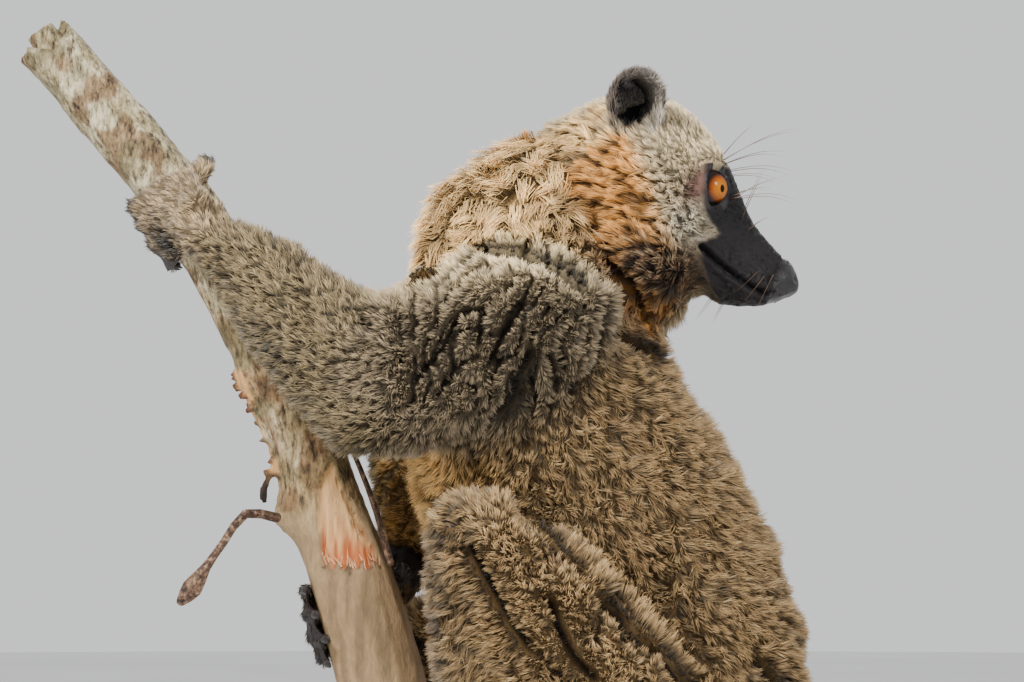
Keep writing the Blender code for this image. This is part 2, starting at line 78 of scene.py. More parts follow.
def flatten(vectors, normals):
    # what is left of each vector along the surface
    return unit(vectors - normals * np.sum(vectors * normals, axis=1, keepdims=True))


def middleOf(node):
    return (boxes[node][0] + boxes[node][1]) / 2


def softNoise(points, size, seed):
    # smooth lattice noise from 0 to 1 at each point
    grid = points / size
    cell = np.floor(grid).astype(np.int64)
    part = ease(grid - cell)
    total = np.zeros(len(points))
    for corner in itertools.product((0, 1), repeat=3):
        mixed = (cell[:, 0] + corner[0]) * 73856093
        mixed ^= (cell[:, 1] + corner[1]) * 19349663
        mixed ^= (cell[:, 2] + corner[2]) * 83492791
        mixed = (mixed ^ (seed * 2654435761)) & 0xffffffff
        mixed = ((mixed ^ (mixed >> 13)) * 1274126177) & 0xffffffff
        value = ((mixed >> 8) & 0xffff) / 65535
        weight = np.ones(len(points))
        for axis in range(3):
            weight *= part[:, axis] if corner[axis] else 1 - part[:, axis]
        total += value * weight
    return total


def bell(values):
    return np.exp(-values ** 2)


def spot(place, middle, size):
    # a soft round spot on the side of the head, from its middle and half sizes ahead and above
    return np.exp(-((place[:, 0] - middle[0]) / size[0]) ** 2 - ((place[:, 2] - middle[1]) / size[1]) ** 2)


def newObject(name, mesh):
    made = bpy.data.objects.new(name, mesh)
    bpy.context.scene.collection.objects.link(made)
    return made


def meshFrom(bm, name):
    mesh = bpy.data.meshes.new(name)
    bm.to_mesh(mesh)
    bm.free()
    return mesh


def smoothAll(mesh):
    mesh.polygons.foreach_set("use_smooth", np.ones(len(mesh.polygons), dtype=bool))


def joinVoxels(thing, size):
    join = thing.modifiers.new("Join", "REMESH")
    join.mode = "VOXEL"
    join.voxel_size = size


def bakeModifiers(thing):
    # live modifiers become plain mesh
    seen = thing.evaluated_get(bpy.context.evaluated_depsgraph_get())
    mesh = bpy.data.meshes.new_from_object(seen)
    thing.modifiers.clear()
    old = thing.data
    thing.data = mesh
    bpy.data.meshes.remove(old)


def readRows(rows, name, width, kind=float):
    values = np.empty(len(rows) * width, dtype=kind)
    rows.foreach_get(name, values)
    return values.reshape(-1, width)


def meshPoints(mesh):
    return readRows(mesh.vertices, "co", 3)


def meshNormals(mesh):
    return readRows(mesh.vertex_normals, "vector", 3)


def meshTriangles(mesh):
    mesh.calc_loop_triangles()
    return readRows(mesh.loop_triangles, "vertices", 3, np.int32)


def meshEdges(mesh):
    return readRows(mesh.edges, "vertices", 2, np.int32)


def movePoints(mesh, points):
    mesh.vertices.foreach_set("co", points.astype(np.float32).ravel())
    mesh.update()


def triangleAreas(points, triangles):
    a, b, c = (points[triangles[:, corner]] for corner in range(3))
    return np.linalg.norm(np.cross(b - a, c - a), axis=1) / 2


def spread(values, edges, rounds):
    # each round mixes a vertex half and half with its neighbours
    count = len(values)
    one, other = edges[:, 0], edges[:, 1]
    degree = np.bincount(one, minlength=count) + np.bincount(other, minlength=count)
    degree = np.maximum(degree, 1)
    values = values.reshape(count, -1).copy()
    for _ in range(rounds):
        for column in range(values.shape[1]):
            line = values[:, column]
            near = np.bincount(one, line[other], count) + np.bincount(other, line[one], count)
            values[:, column] = 0.5 * line + 0.5 * near / degree
    return values


def softenPoints(points, edges, rounds, share):
    # smooths without shrinking: each round pulls in, then pushes back out
    for _ in range(rounds):
        for strength in (0.50, -0.52):
            pulled = spread(points, edges, 1)
            points = points + (pulled - points) * 2 * strength * share[:, None]
    return points


def storeColour(mesh, name, colours):
    layer = mesh.attributes.new(name, "FLOAT_COLOR", "POINT")
    rows = np.ones((len(colours), 4), dtype=np.float32)
    rows[:, :3] = colours
    layer.data.foreach_set("color", rows.ravel())


def storeValue(mesh, name, values):
    layer = mesh.attributes.new(name, "FLOAT", "POINT")
    layer.data.foreach_set("value", values.astype(np.float32))


def blendTo(colours, target, share):
    return colours + (target - colours) * share[:, None]


def lineDistance(places, line):
    # distance from flat places to a line of points, and the way from the line to each place
    best = np.full(len(places), farAway)
    way = np.zeros((len(places), 2))
    for start, end in zip(line, line[1:]):
        start, end = np.array(start), np.array(end)
        step = end - start
        share = np.clip(((places - start) @ step) / (step @ step), 0, 1)
        gap = places - start - share[:, None] * step
        distance = np.linalg.norm(gap, axis=1)
        way = np.where((distance < best)[:, None], gap, way)
        best = np.minimum(best, distance)
    return best, way


def bridgeRings(bm, rings):
    count = len(rings[0])
    for lower, upper in zip(rings, rings[1:]):
        for corner in range(count):
            after = (corner + 1) % count
            bm.faces.new((lower[corner], lower[after], upper[after], upper[corner]))


# a frame for the head, from where the eyes sit
headFrame = {"pitch": 27.9, "eyesAhead": 0.0608, "eyesAbove": 0.0140}
pitch = math.radians(headFrame["pitch"])
ahead = np.array([math.cos(pitch), 0, -math.sin(pitch)])
above = np.array([math.sin(pitch), 0, math.cos(pitch)])
eyesMiddle = (middleOf("eye_left") + middleOf("eye_right")) / 2
headBack = eyesMiddle - ahead * headFrame["eyesAhead"] - above * headFrame["eyesAbove"]


def toHead(points):
    # ahead to the nose, aside from the middle plane, above the axis
    offset = points - headBack
    return np.stack([offset @ ahead, offset[:, 1], offset @ above], axis=1)


def fromHead(along, aside, up):
    return headBack + ahead * along + np.array([0, aside, 0]) + above * up


limbNames = ["upper_arm", "forearm", "hand", "thigh", "shin", "foot"]
bodyNodes = ["head", "neck", "torso", "tail_base", "tail_middle", "tail_end", "ear_left", "ear_right"]
bodyNodes += [limb + "_" + side for limb in limbNames for side in bothSides]

# depth and length in metres, width of a lock at its root, locks per square millimetre,
# how hard locks draw together, and each clump's size
coatMeasures = ["depth", "length", "width", "locks", "draw", "clump"]
coatKinds = {
    "torso": (0.0062, 0.0076, 0.00038, 1.25, 0.30, 0.0031),
    "neck": (0.0098, 0.0150, 0.00046, 1.40, 0.66, 0.0066),
    "head": (0.0046, 0.0072, 0.00036, 2.30, 0.36, 0.0021),
    "ear": (0.0006, 0.0046, 0.00026, 2.20, 0.15, 0.0025),
    "upper_arm": (0.0048, 0.0056, 0.00036, 2.20, 0.24, 0.0024),
    "forearm": (0.0046, 0.0058, 0.00037, 1.80, 0.28, 0.0025),
    "hand": (0.0012, 0.0036, 0.00036, 1.80, 0.30, 0.0020),
    "thigh": (0.0056, 0.0066, 0.00038, 1.65, 0.28, 0.0028),
    "shin": (0.0055, 0.0072, 0.00044, 1.30, 0.42, 0.0034),
    "foot": (0.0012, 0.0034, 0.00036, 1.80, 0.30, 0.0020),
    "tail": (0.0110, 0.0190, 0.00060, 0.92, 0.50, 0.0040),
}
coatColours = {
    "torso": srgb(158, 128, 86), "neck": srgb(236, 196, 130), "head": srgb(182, 164, 132),
    "ear": srgb(92, 80, 74), "upper_arm": srgb(128, 113, 90), "forearm": srgb(112, 97, 68),
    "hand": srgb(176, 152, 116), "thigh": srgb(158, 128, 86), "shin": srgb(150, 122, 82),
    "foot": srgb(150, 128, 98), "tail": srgb(112, 92, 70),
}
# the nodes that each part's coat runs from and to
lieOfCoat = {
    "neck": ("head", "torso"), "torso": ("neck", "tail_base"), "tail_base": ("tail_base", "tail_middle"),
    "tail_middle": ("tail_base", "tail_end"), "tail_end": ("tail_middle", "tail_end"),
    "ear_left": ("head", "ear_left"), "ear_right": ("head", "ear_right"), "head": ("head", "torso"),
}
for side in bothSides:
    for chain in (("neck", "upper_arm_" + side, "forearm_" + side, "hand_" + side),
                  ("tail_base", "thigh_" + side, "shin_" + side, "foot_" + side)):
        for number in (1, 2, 3):
            lieOfCoat[chain[number]] = (chain[number - 1], chain[min(number + 1, 3)])


def kindOf(node):
    return next(kind for kind in coatKinds if node.startswith(kind))


def isPart(owner, *nodes):
    return np.isin(owner, [bodyNodes.index(node) for node in nodes])


# one skin over all the flesh
skinForm = {
    "bridge": 0.0006, "voxel": 0.0019, "samples": 4000, "softening": 3, "smoothRounds": 6,
    "broadEdge": 12, "broadRounds": 60, "foldRounds": 10, "faceStart": 0.035, "faceRounds": 14,
}


def buildSkin():
    whole = bmesh.new()
    samples = []
    generator = np.random.default_rng(randomSeed)
    for number, node in enumerate(bodyNodes + ["eye_left", "eye_right"]):
        part = bmesh.new()
        part.from_mesh(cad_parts[node].data)
        bmesh.ops.remove_doubles(part, verts=part.verts, dist=weldGap)
        part.normal_update()
        for vert in part.verts:
            vert.co += vert.normal * skinForm["bridge"]
        mesh = meshFrom(part, "part")
        whole.from_mesh(mesh)
        places = scatter(meshPoints(mesh), meshTriangles(mesh), None, skinForm["samples"], generator)[1]
        number = bodyNodes.index("head") if node.startswith("eye") else number
        samples.append((number, places))
        bpy.data.meshes.remove(mesh)
    skin = newObject("skin", meshFrom(whole, "skin"))
    joinVoxels(skin, skinForm["voxel"])
    soften = skin.modifiers.new("Soften", "SMOOTH")
    soften.iterations = skinForm["softening"]
    bakeModifiers(skin)
    bm = bmesh.new()
    bm.from_mesh(skin.data)
    bmesh.ops.triangulate(bm, faces=bm.faces)
    bm.to_mesh(skin.data)
    bm.free()
    tree = KDTree(sum(len(places) for _, places in samples))
    owners = []
    for number, places in samples:
        for place in places:
            tree.insert(place, len(owners))
            owners.append(number)
    tree.balance()
    return skin, tree, np.array(owners)


def scatter(points, triangles, weights, count, generator):
    # random places on a mesh, weighted by area and by each triangle's own weight
    a, b, c = (points[triangles[:, corner]] for corner in range(3))
    area = triangleAreas(points, triangles)
    chance = area if weights is None else area * weights
    chosen = generator.choice(len(triangles), count, p=chance / chance.sum())
    first, second = generator.random(count), generator.random(count)
    flip = first + second > 1
    first[flip], second[flip] = 1 - first[flip], 1 - second[flip]
    shares = np.stack([1 - first - second, first, second], axis=1)
    places = a[chosen] * shares[:, :1] + b[chosen] * shares[:, 1:2] + c[chosen] * shares[:, 2:]
    return chosen, places, shares


# markings, from the place on the body; the darker brown ahead of the ruff is partly painted shade in the
# crease
markings = {
    "belly": srgb(238, 190, 116), "shoulder": srgb(250, 226, 178), "ruff": srgb(196, 134, 58),
    "nape": srgb(242, 200, 134), "ruffBrownAndShade": srgb(120, 84, 50), "mask": srgb(15, 11, 13),
    "streak": srgb(212, 204, 184), "bareEye": srgb(112, 84, 74), "crown": srgb(202, 184, 148),
    "throat": srgb(72, 48, 30), "tailTip": srgb(66, 54, 43), "earInside": srgb(20, 15, 15),
    "earFringe": srgb(176, 168, 156), "palm": srgb(38, 32, 31), "saddle": srgb(118, 88, 58),
    "lidEdge": srgb(26, 20, 20), "rootShade": 0.68, "partingShade": 0.94,
}
# how bare and shiny the skin is in places
bareShares = {"muzzle": 0.45, "noseTip": 0.75, "lidEdge": 0.6, "digits": 0.5}
# the middle of each palm and sole; fingers and toes beyond it are bare and dark
palms = {"hand_left": (-0.1126, -0.0225, 0.6841), "hand_right": (-0.0435, 0.025, 0.5123),
         "foot_left": (-0.005, -0.0221, 0.4431), "foot_right": (0.0046, 0.0228, 0.4039)}
palmForm = {"reach": 0.020, "fade": 0.009, "ragged": 0.008, "grain": 0.004}
# painted shade, partly bare palm: a dark patch on the near hand's edge by the branch, from its middle ahead
# and up, its way, and its size along and across
palmHollowShade = {"middle": (-0.1216, 0.6660), "way": (0.585, -0.811), "length": 0.0125, "width": 0.0042}
# how far ahead the dark mask starts, at heights above the head's axis
maskEdge = {
    "above": [-0.0267, -0.0242, -0.0191, -0.0127, -0.0084, -0.0062, -0.0030,
              0.0000, 0.0010, 0.0026, 0.0055, 0.0100, 0.0239, 0.0280],
    "ahead": [0.0880, 0.0829, 0.0762, 0.0700, 0.0668, 0.0690, 0.0722,
              0.0728, 0.0704, 0.0668, 0.0628, 0.0606, 0.0604, 0.0650],
    "fade": 0.0062, "coatFade": 0.007,
}
# the rufous ruff lies behind a slanting line, and below one that rises ahead
ruffTop = {
    "from": 0.0021, "start": -0.0083, "slope": 1.49, "corner": (0.0282, 0.0152), "way": (-0.6505, -0.7595),
}


def pastMaskEdge(place):
    return place[:, 0] - np.interp(place[:, 2], maskEdge["above"], maskEdge["ahead"])


def behindEar(place):
    return ((place[:, 0] - ruffTop["corner"][0]) * ruffTop["way"][0]
            + (place[:, 2] - ruffTop["corner"][1]) * ruffTop["way"][1])


def digitShare(points, owner):
    # 1 on bare fingers and toes, 0 on the coat behind them
    result = np.zeros(len(points))
    ragged = palmForm["ragged"] * (softNoise(points, palmForm["grain"], 61) - 0.5)
    for node, palm in palms.items():
        reach = np.linalg.norm(points - np.array(palm), axis=1) + ragged
        bare = ease((reach - palmForm["reach"]) / palmForm["fade"])
        result = np.maximum(result, isPart(owner, node) * bare)
    return result


def paintBody(points, normals, owner, edges, digits):
    colours = np.array([coatColours[kindOf(node)] for node in bodyNodes])[owner]
    torso = isPart(owner, "torso")
    colours = blendTo(colours, markings["belly"], ease((-normals[:, 0] - 0.25) / 0.5) * torso)
    low, high = boxes["torso"]
    height = (points[:, 2] - low[2]) / (high[2] - low[2])
    saddle = torso * ease((0.36 - height) / 0.25) * ease((normals[:, 0] - 0.2) / 0.5)
    colours = blendTo(colours, markings["saddle"], 0.65 * saddle)
    broad = isPart(owner, "torso", "upper_arm_left", "upper_arm_right")
    # partly the real cream of the shoulder top, partly painted light: the cream grows where the coat faces
    # up, so the top is painted lighter as if lit from above
    shoulder = broad * ease((height - 0.87) / 0.09) * ease((normals[:, 2] - 0.15) / 0.4)
    colours = blendTo(colours, markings["shoulder"], 0.85 * shoulder)
    colours = spread(colours, edges, 24)
    # the nape's colour hangs over the shoulder as far as the crease; ahead it turns to a darker brown, partly
    # the ruff's own brown and partly painted shade in the crease
    over = ease(aboveCrease(points) / 0.006 + 0.6) * (broad + isPart(owner, "neck"))
    over = over * (1 - ease((points[:, 0] - 0.050) / 0.020) * (1 - ease((points[:, 2] - 0.622) / 0.018)))
    forward = ease((points[:, 0] - 0.030) / 0.040)
    tone = blendTo(markings["nape"], markings["ruffBrownAndShade"], forward)
    colours = blendTo(colours, tone, over)
    for side, outward in (("left", -1.0), ("right", 1.0)):
        arm = isPart(owner, "upper_arm_" + side, "forearm_" + side)
        inner = arm * ease((-outward * normals[:, 1] - 0.30) / 0.4)
        colours = blendTo(colours, markings["belly"], 0.75 * inner)
    colours = blendTo(colours, markings["palm"], digits)
    # the near palm's edge beside the branch: the dark palm colour laid on as a patch, partly the bare palm
    # and partly painted shade of the hollow there
    gap, way = points[:, [0, 2]] - np.array(palmHollowShade["middle"]), np.array(palmHollowShade["way"])
    along, across = gap @ way, gap @ np.array([-way[1], way[0]])
    hollowShade = np.exp(-(along / palmHollowShade["length"]) ** 4 - (across / palmHollowShade["width"]) ** 4)
    colours = blendTo(colours, markings["palm"], hollowShade * isPart(owner, "hand_left"))
    low, high = boxes["tail_end"]
    tip = ease((high[2] - points[:, 2]) / (high[2] - low[2])) * isPart(owner, "tail_end")
    return blendTo(colours, markings["tailTip"], 0.8 * tip)


def paintHead(points, owner, colours):
    place = toHead(points)
    onHead = isPart(owner, "head").astype(float)
    top = ruffTop["start"] + (place[:, 0] - ruffTop["from"]) * ruffTop["slope"]
    ruff = ease(behindEar(place) / 0.009 + 0.5) * onHead * ease((np.abs(place[:, 1]) - 0.006) / 0.012)
    colours = blendTo(colours, markings["nape"], ruff)
    colours = blendTo(colours, markings["ruff"], ruff * ease((top - place[:, 2]) / 0.008 + 0.5))
    crown = ease((place[:, 2] - 0.012) / 0.012) * onHead * (1 - ruff)
    colours = blendTo(colours, markings["crown"], crown)
    for name, middle, size, strength, where in (
            ("throat", (0.0630, -0.0260), (0.0220, 0.0135), 1.5, place[:, 0] > 0),
            ("streak", (0.0630, -0.0020), (0.0080, 0.0070), 1.0, onHead),
            ("bareEye", (0.0585, 0.0145), (0.0052, 0.0095), 1.3, onHead)):
        share = np.clip(strength * spot(place, middle, size), 0, 1)
        colours = blendTo(colours, markings[name], share * where)
    mask = ease(pastMaskEdge(place) / maskEdge["fade"] + 0.5)
    return blendTo(colours, markings["mask"], mask * onHead)


# the face: lids, mouth and nose
faceForm = {
    "eyeRadius": 0.0085, "eyeTurn": 46.0, "eyeDrop": 0.06, "lidWidth": 0.0060, "lidHeight": 0.0078,
    "lidTilt": -9.0, "lid": 0.0007, "lidRim": 0.0004, "sink": 0.0016,
    "mouthDepth": 0.0027, "mouthWidth": 0.0011,
    "mouth": [(0.0700, -0.0095), (0.0835, -0.0128), (0.0961, -0.0142), (0.1040, -0.0140), (0.1080, -0.0118)],
    "lipRise": 0.0013, "pad": 0.0007, "padRim": 0.0006, "dimple": 0.0035, "wrinkle": 0.0005,
    "nostril": (0.1098, 0.0034, -0.0044), "nostrilSize": 0.0016, "nostrilDepth": 0.0030,
    "edge": 0.0013, "fineEdge": 0.0007, "lowest": 0.62, "nearEye": 0.0125, "eyeRim": 0.0115,
    "lidReach": 0.0175, "lidFade": 0.004, "rimAt": 1.06, "rimWidth": 0.10, "darkLids": 0.16,
    "bareLids": 1.18, "bareEye": 0.0093,
}


def eyeAxes(side):
    # gaze, and the two ways across the eye
    turn = math.radians(faceForm["eyeTurn"])
    gaze = unit(np.array([math.cos(turn), side * math.sin(turn), -faceForm["eyeDrop"]]))
    tilt = math.radians(faceForm["lidTilt"])
    tall = np.array([math.sin(tilt), 0, math.cos(tilt)])
    tall = unit(tall - gaze * (tall @ gaze))
    return gaze, np.cross(gaze, tall), tall


def lidShare(points, side):
    # below 1 inside the opening, above 1 on the lids; far behind the eye it is large
    centre = middleOf("eye_left" if side > 0 else "eye_right")
    gaze, wide, tall = eyeAxes(side)
    offset = points - centre
    radius = np.linalg.norm(offset, axis=1)
    way = offset / np.maximum(radius, 1e-6)[:, None]
    size = faceForm["eyeRadius"]
    share = np.sqrt((way @ wide * size / faceForm["lidWidth"]) ** 2
                    + (way @ tall * size / faceForm["lidHeight"]) ** 2)
    return np.where(way @ gaze > 0, share, farAway), radius, way, centre


def refineFace(skin):
    # smaller triangles on the face, and smaller again round the eyes, nose and mouth
    bm = bmesh.new()
    bm.from_mesh(skin.data)
    eyes = [middleOf("eye_left"), middleOf("eye_right")]
    for longest, wholeFace in ((faceForm["edge"], True), (faceForm["fineEdge"], False)):
        for _ in range(2):
            bm.edges.ensure_lookup_table()
            ends = np.array([(*edge.verts[0].co, *edge.verts[1].co) for edge in bm.edges])
            middle = (ends[:, :3] + ends[:, 3:]) / 2
            place = toHead(middle)
            along, up = place[:, 0], place[:, 2]
            inFace = (along > 0.040) & (up > -0.050) & (middle[:, 2] > faceForm["lowest"])
            if not wholeFace:
                toEye = np.min([np.linalg.norm(middle - eye, axis=1) for eye in eyes], axis=0)
                nearMouth = (along > 0.066) & (up > -0.022) & (up < -0.001)
                inFace &= (toEye < faceForm["nearEye"]) | nearMouth | (along > 0.100)
            inFace &= np.linalg.norm(ends[:, :3] - ends[:, 3:], axis=1) > longest
            chosen = [bm.edges[number] for number in np.nonzero(inFace)[0]]
            if chosen:
                bmesh.ops.subdivide_edges(bm, edges=chosen, cuts=1, use_grid_fill=True)
                bmesh.ops.triangulate(bm, faces=[face for face in bm.faces if len(face.verts) > 3])
    bm.to_mesh(skin.data)
    bm.free()


def carveFace(points, normals):
    place = toHead(points)
    along, up = place[:, 0], place[:, 2]
    distance, _ = lineDistance(place[:, [0, 2]], faceForm["mouth"])
    fade = ease((along - 0.066) / 0.006) * (1 - 0.85 * ease((along - 0.103) / 0.005))
    groove = bell(distance / faceForm["mouthWidth"]) * faceForm["mouthDepth"] * fade
    lips = bell((distance - 0.0026) / 0.0016) * faceForm["lipRise"] * fade
    pad = ease((along - 0.1045) / 0.0016) * ease((up + 0.0125) / 0.003) * faceForm["pad"]
    rim = bell((along - 0.1036) / 0.0011) * ease((up + 0.0120) / 0.003) * faceForm["padRim"]
    dimples = np.maximum(0, softNoise(points, 0.0023, 51) - 0.62) * faceForm["dimple"]
    dimples = dimples * ease((along - 0.078) / 0.006) * (up < -0.004) * (np.abs(place[:, 1]) > 0.004)
    stretch = np.stack([ahead, above * 3, np.array([0, 1.0, 0])], axis=1)
    wrinkles = (softNoise(points @ stretch, 0.0034, 52) - 0.5) * faceForm["wrinkle"]
    points = points + normals * (lips - groove + pad - rim + dimples + wrinkles * fade)[:, None]
    size = faceForm["nostrilSize"]
    for side in (-1, 1):
        offset = place - np.array(faceForm["nostril"]) * [1, side, 1]
        pit = np.exp(-(offset[:, 0] / (size * 1.5)) ** 2 - (offset[:, 1] / size) ** 2
                     - ((offset[:, 2] - offset[:, 0] * 0.35) / size) ** 2)
        points = points - normals * (pit * faceForm["nostrilDepth"])[:, None]
    return points


earForm = {
    "depth": 0.0075, "size": 0.0075, "tall": 1.25, "lift": 0.002, "centre": (0.42, 0.40), "margin": 0.004,
}


def hollowEars(points, normals):
    # the bowl of each ear, and its share from 0 to 1
    shares = np.zeros(len(points))
    size = earForm["size"]
    for side, node in ((1, "ear_left"), (-1, "ear_right")):
        low, high = boxes[node]
        centre = low + (high - low) * np.array([earForm["centre"][0], 0.5, earForm["centre"][1]])
        gap = (points - centre)[:, [0, 2]]
        reach = (gap[:, 0] / size) ** 2 + ((gap[:, 1] - earForm["lift"]) / (size * earForm["tall"])) ** 2
        bowl = np.exp(-reach ** 1.5)
        facing = ease((normals[:, 1] * side - 0.05) / 0.4) * (np.abs(points[:, 1]) > 0.018)
        near = np.all((points > low - earForm["margin"]) & (points < high + earForm["margin"]), axis=1)
        shares = np.maximum(shares, bowl * facing * near)
    return points - normals * (shares * earForm["depth"])[:, None], shares


def openLids(points):
    for side in (-1, 1):
        share, radius, way, centre = lidShare(points, side)
        size = faceForm["eyeRadius"]
        close = ease((faceForm["lidReach"] - radius) / faceForm["lidFade"])
        rim = bell((share - faceForm["rimAt"]) / faceForm["rimWidth"]) * faceForm["lidRim"]
        wanted = np.maximum(radius, size + faceForm["lid"]) + rim
        wanted = np.where(share < 1, size - faceForm["sink"], wanted)
        wanted = radius + (wanted - radius) * np.where(share < farAway, close, 0)
        points = centre + way * wanted[:, None]
    return points


# partings in the coat, as places in a part's box from its low corner
partings = {
    "torso": [
        [(0.206, 0.915), (0.347, 0.889), (0.465, 0.850), (0.547, 0.816), (0.582, 0.802)],
        [(0.268, 0.745), (0.295, 0.715), (0.285, 0.680)],
        [(0.44, 0.93), (0.52, 0.885), (0.60, 0.86)],
        [(0.90, 0.50), (0.955, 0.42), (0.965, 0.33)],
        [(0.84, 0.36), (0.90, 0.28)],
    ],
    "thigh": [
        [(0.070, 0.94), (0.117, 0.835), (0.187, 0.717), (0.251, 0.625), (0.308, 0.572)],
        [(0.276, 0.94), (0.372, 0.862), (0.467, 0.783)],
        [(0.531, 0.704), (0.689, 0.572), (0.816, 0.467)],
        [(0.05, 0.42), (0.16, 0.36), (0.30, 0.38)],
        [(0.36, 0.70), (0.42, 0.58), (0.50, 0.50)],
    ],
}
# partings on the near shoulder: places ahead and up, and half the width
shoulderPartings = [
    ([(0.0113, 0.6652), (0.0300, 0.6634), (0.0398, 0.6590), (0.0470, 0.6538), (0.0525, 0.6492)], 0.0028),
    ([(-0.0228, 0.6423), (-0.0223, 0.6350), (-0.0215, 0.6282)], 0.0013),
    ([(-0.0158, 0.6452), (-0.0164, 0.6380), (-0.0172, 0.6282)], 0.0016),
    ([(-0.0068, 0.6490), (-0.0062, 0.6436), (-0.0070, 0.6346)], 0.0015),
    ([(0.0015, 0.6359), (-0.0028, 0.6274), (-0.0083, 0.6189), (-0.0155, 0.6112)], 0.0019),
    ([(0.0130, 0.6389), (0.0113, 0.6329), (0.0096, 0.6270)], 0.0014),
    ([(0.0283, 0.6431), (0.0198, 0.6316), (0.0143, 0.6189)], 0.0020),
    ([(0.0045, 0.6189), (-0.0006, 0.6112), (-0.0057, 0.6048)], 0.0016),
    ([(0.0321, 0.6206), (0.0266, 0.6104), (0.0257, 0.6002), (0.0194, 0.5959)], 0.0034),
    ([(0.0398, 0.6189), (0.0415, 0.6112)], 0.0022),
    ([(0.0636, 0.6606), (0.0738, 0.6516), (0.0853, 0.6350)], 0.0030),
]
partingWidth = {"torso": 0.0032, "thigh": 0.0026}
drawnNodes = ["torso", "thigh_left", "thigh_right"]
# how strong the furrows are, how far apart, the way across them, and how often they break off
furrowKinds = {
    "upper_arm": (1.0, 0.0092, (0.90, 0.10, -0.42), 0.30),
    "forearm": (0.60, 0.0100, (0.93, 0.0, -0.37), 0.50),
    "torso": (0.62, 0.0120, (0.62, 0.10, 0.78), 0.55),
    "neck": (0.45, 0.0100, (0.80, 0.10, 0.60), 0.48),
    "thigh": (0.75, 0.0125, (0.86, 0.0, 0.50), 0.47),
    "shin": (0.40, 0.0110, (0.40, 0.0, 0.90), 0.50),
    "tail": (0.35, 0.0150, (0.10, 0.0, 0.99), 0.52),
}
furrowForm = {
    "width": 0.28, "depth": 0.0068, "lean": 0.45, "bend": 0.005, "leanReach": 2.2, "waves": 2.6,
    "breakFade": 0.14, "shoulderCalm": 2.0, "shoulderPush": 0.8, "drawnCalm": 2.8, "drawnPush": 1.1,
}


def furrowMasks(owner, edges):
    # how much of each kind of furrow a place takes, by the part of the body it lies on
    columns = []
    for kind in furrowKinds:
        columns.append(np.array([kindOf(node) == kind for node in bodyNodes])[owner].astype(float))
    columns = spread(np.stack(columns, axis=1), edges, 10)
    drawn = np.stack([isPart(owner, node) for node in drawnNodes], axis=1).astype(float)
    return np.concatenate([columns, spread(drawn, edges, 6)], axis=1)


def furrows(points, masks):
    # 1 along the bottom of a furrow and 0 on the coat beside it, the way the coat leans from it,
    # and how still the coat lies near it
    result, calm = np.zeros(len(points)), np.zeros(len(points))
    lean = np.zeros((len(points), 3))

    def drawLine(flat, line, width, mine, calmReach, push):
        nonlocal result, calm
        distance, gap = lineDistance(flat, line)
        result = np.maximum(result, bell(distance / width) * mine)
        calm = np.maximum(calm, bell(distance / (calmReach * width)) * mine)
        away = unit(gap) * (bell(distance / (furrowForm["leanReach"] * width)) * width * push * mine)[:, None]
        lean[:, 0] += away[:, 0]
        lean[:, 2] += away[:, 1]

    slow = softNoise(points, 0.024, 40) + 0.45 * softNoise(points, 0.009, 41)
    breaks = softNoise(points, 0.017, 42)
    for number, (strength, apart, across, broken) in enumerate(furrowKinds.values()):
        across = unit(np.array(across))
        phase = points @ across / apart + furrowForm["waves"] * slow
        signed = phase - np.floor(phase) - 0.5
        here = ease((breaks - broken) / furrowForm["breakFade"]) * masks[:, number] * strength
        result = np.maximum(result, ease(1 - np.abs(signed) / furrowForm["width"]) * here)
        away = np.sign(signed) * (0.5 - np.abs(signed)) * apart * furrowForm["lean"] * here
        calm = np.maximum(calm, here)
        lean += away[:, None] * across
    bend = np.stack([softNoise(points, 0.012, seed) for seed in (43, 44)], axis=1)
    bend = (bend - 0.5) * furrowForm["bend"]
    near = ease((-0.008 - points[:, 1]) / 0.012) * (points[:, 2] > 0.56)
    for line, width in shoulderPartings:
        drawLine(points[:, [0, 2]] + bend * 0.5, line, width, near,
                 furrowForm["shoulderCalm"], furrowForm["shoulderPush"])
    for number, node in enumerate(drawnNodes):
        low, high = boxes[node]
        flat = ((points - low) / (high - low))[:, [0, 2]]
        size = (high - low)[[0, 2]]
        mine = masks[:, len(furrowKinds) + number]
        for line in partings[kindOf(node)]:
            scaled = [np.array(end) * size for end in line]
            drawLine(flat * size + bend, scaled, partingWidth[kindOf(node)], mine,
                     furrowForm["drawnCalm"], furrowForm["drawnPush"])
    return result, lean, calm


# the crease where the ruff hangs over the shoulder, as heights over places ahead
creaseLine = {
    "ahead": [-0.0155, 0.0100, 0.0440, 0.0611, 0.0717, 0.0760, 0.0780],
    "height": [0.6572, 0.6763, 0.6712, 0.6606, 0.6500, 0.6200, 0.5800],
    "near": 0.044, "far": 0.034, "fall": 0.018,
}


def aboveCrease(points):
    return points[:, 2] - np.interp(points[:, 0], creaseLine["ahead"], creaseLine["height"])


def foldShoulder(points, share):
    # above the crease the near shoulder stands no wider than the neck
    limit = creaseLine["near"] + creaseLine["far"] * ease(-aboveCrease(points) / creaseLine["fall"])
    over = np.maximum(np.abs(points[:, 1]) - limit, 0) * share * (points[:, 1] < 0)
    result = points.copy()
    result[:, 1] -= np.sign(points[:, 1]) * over
    return result


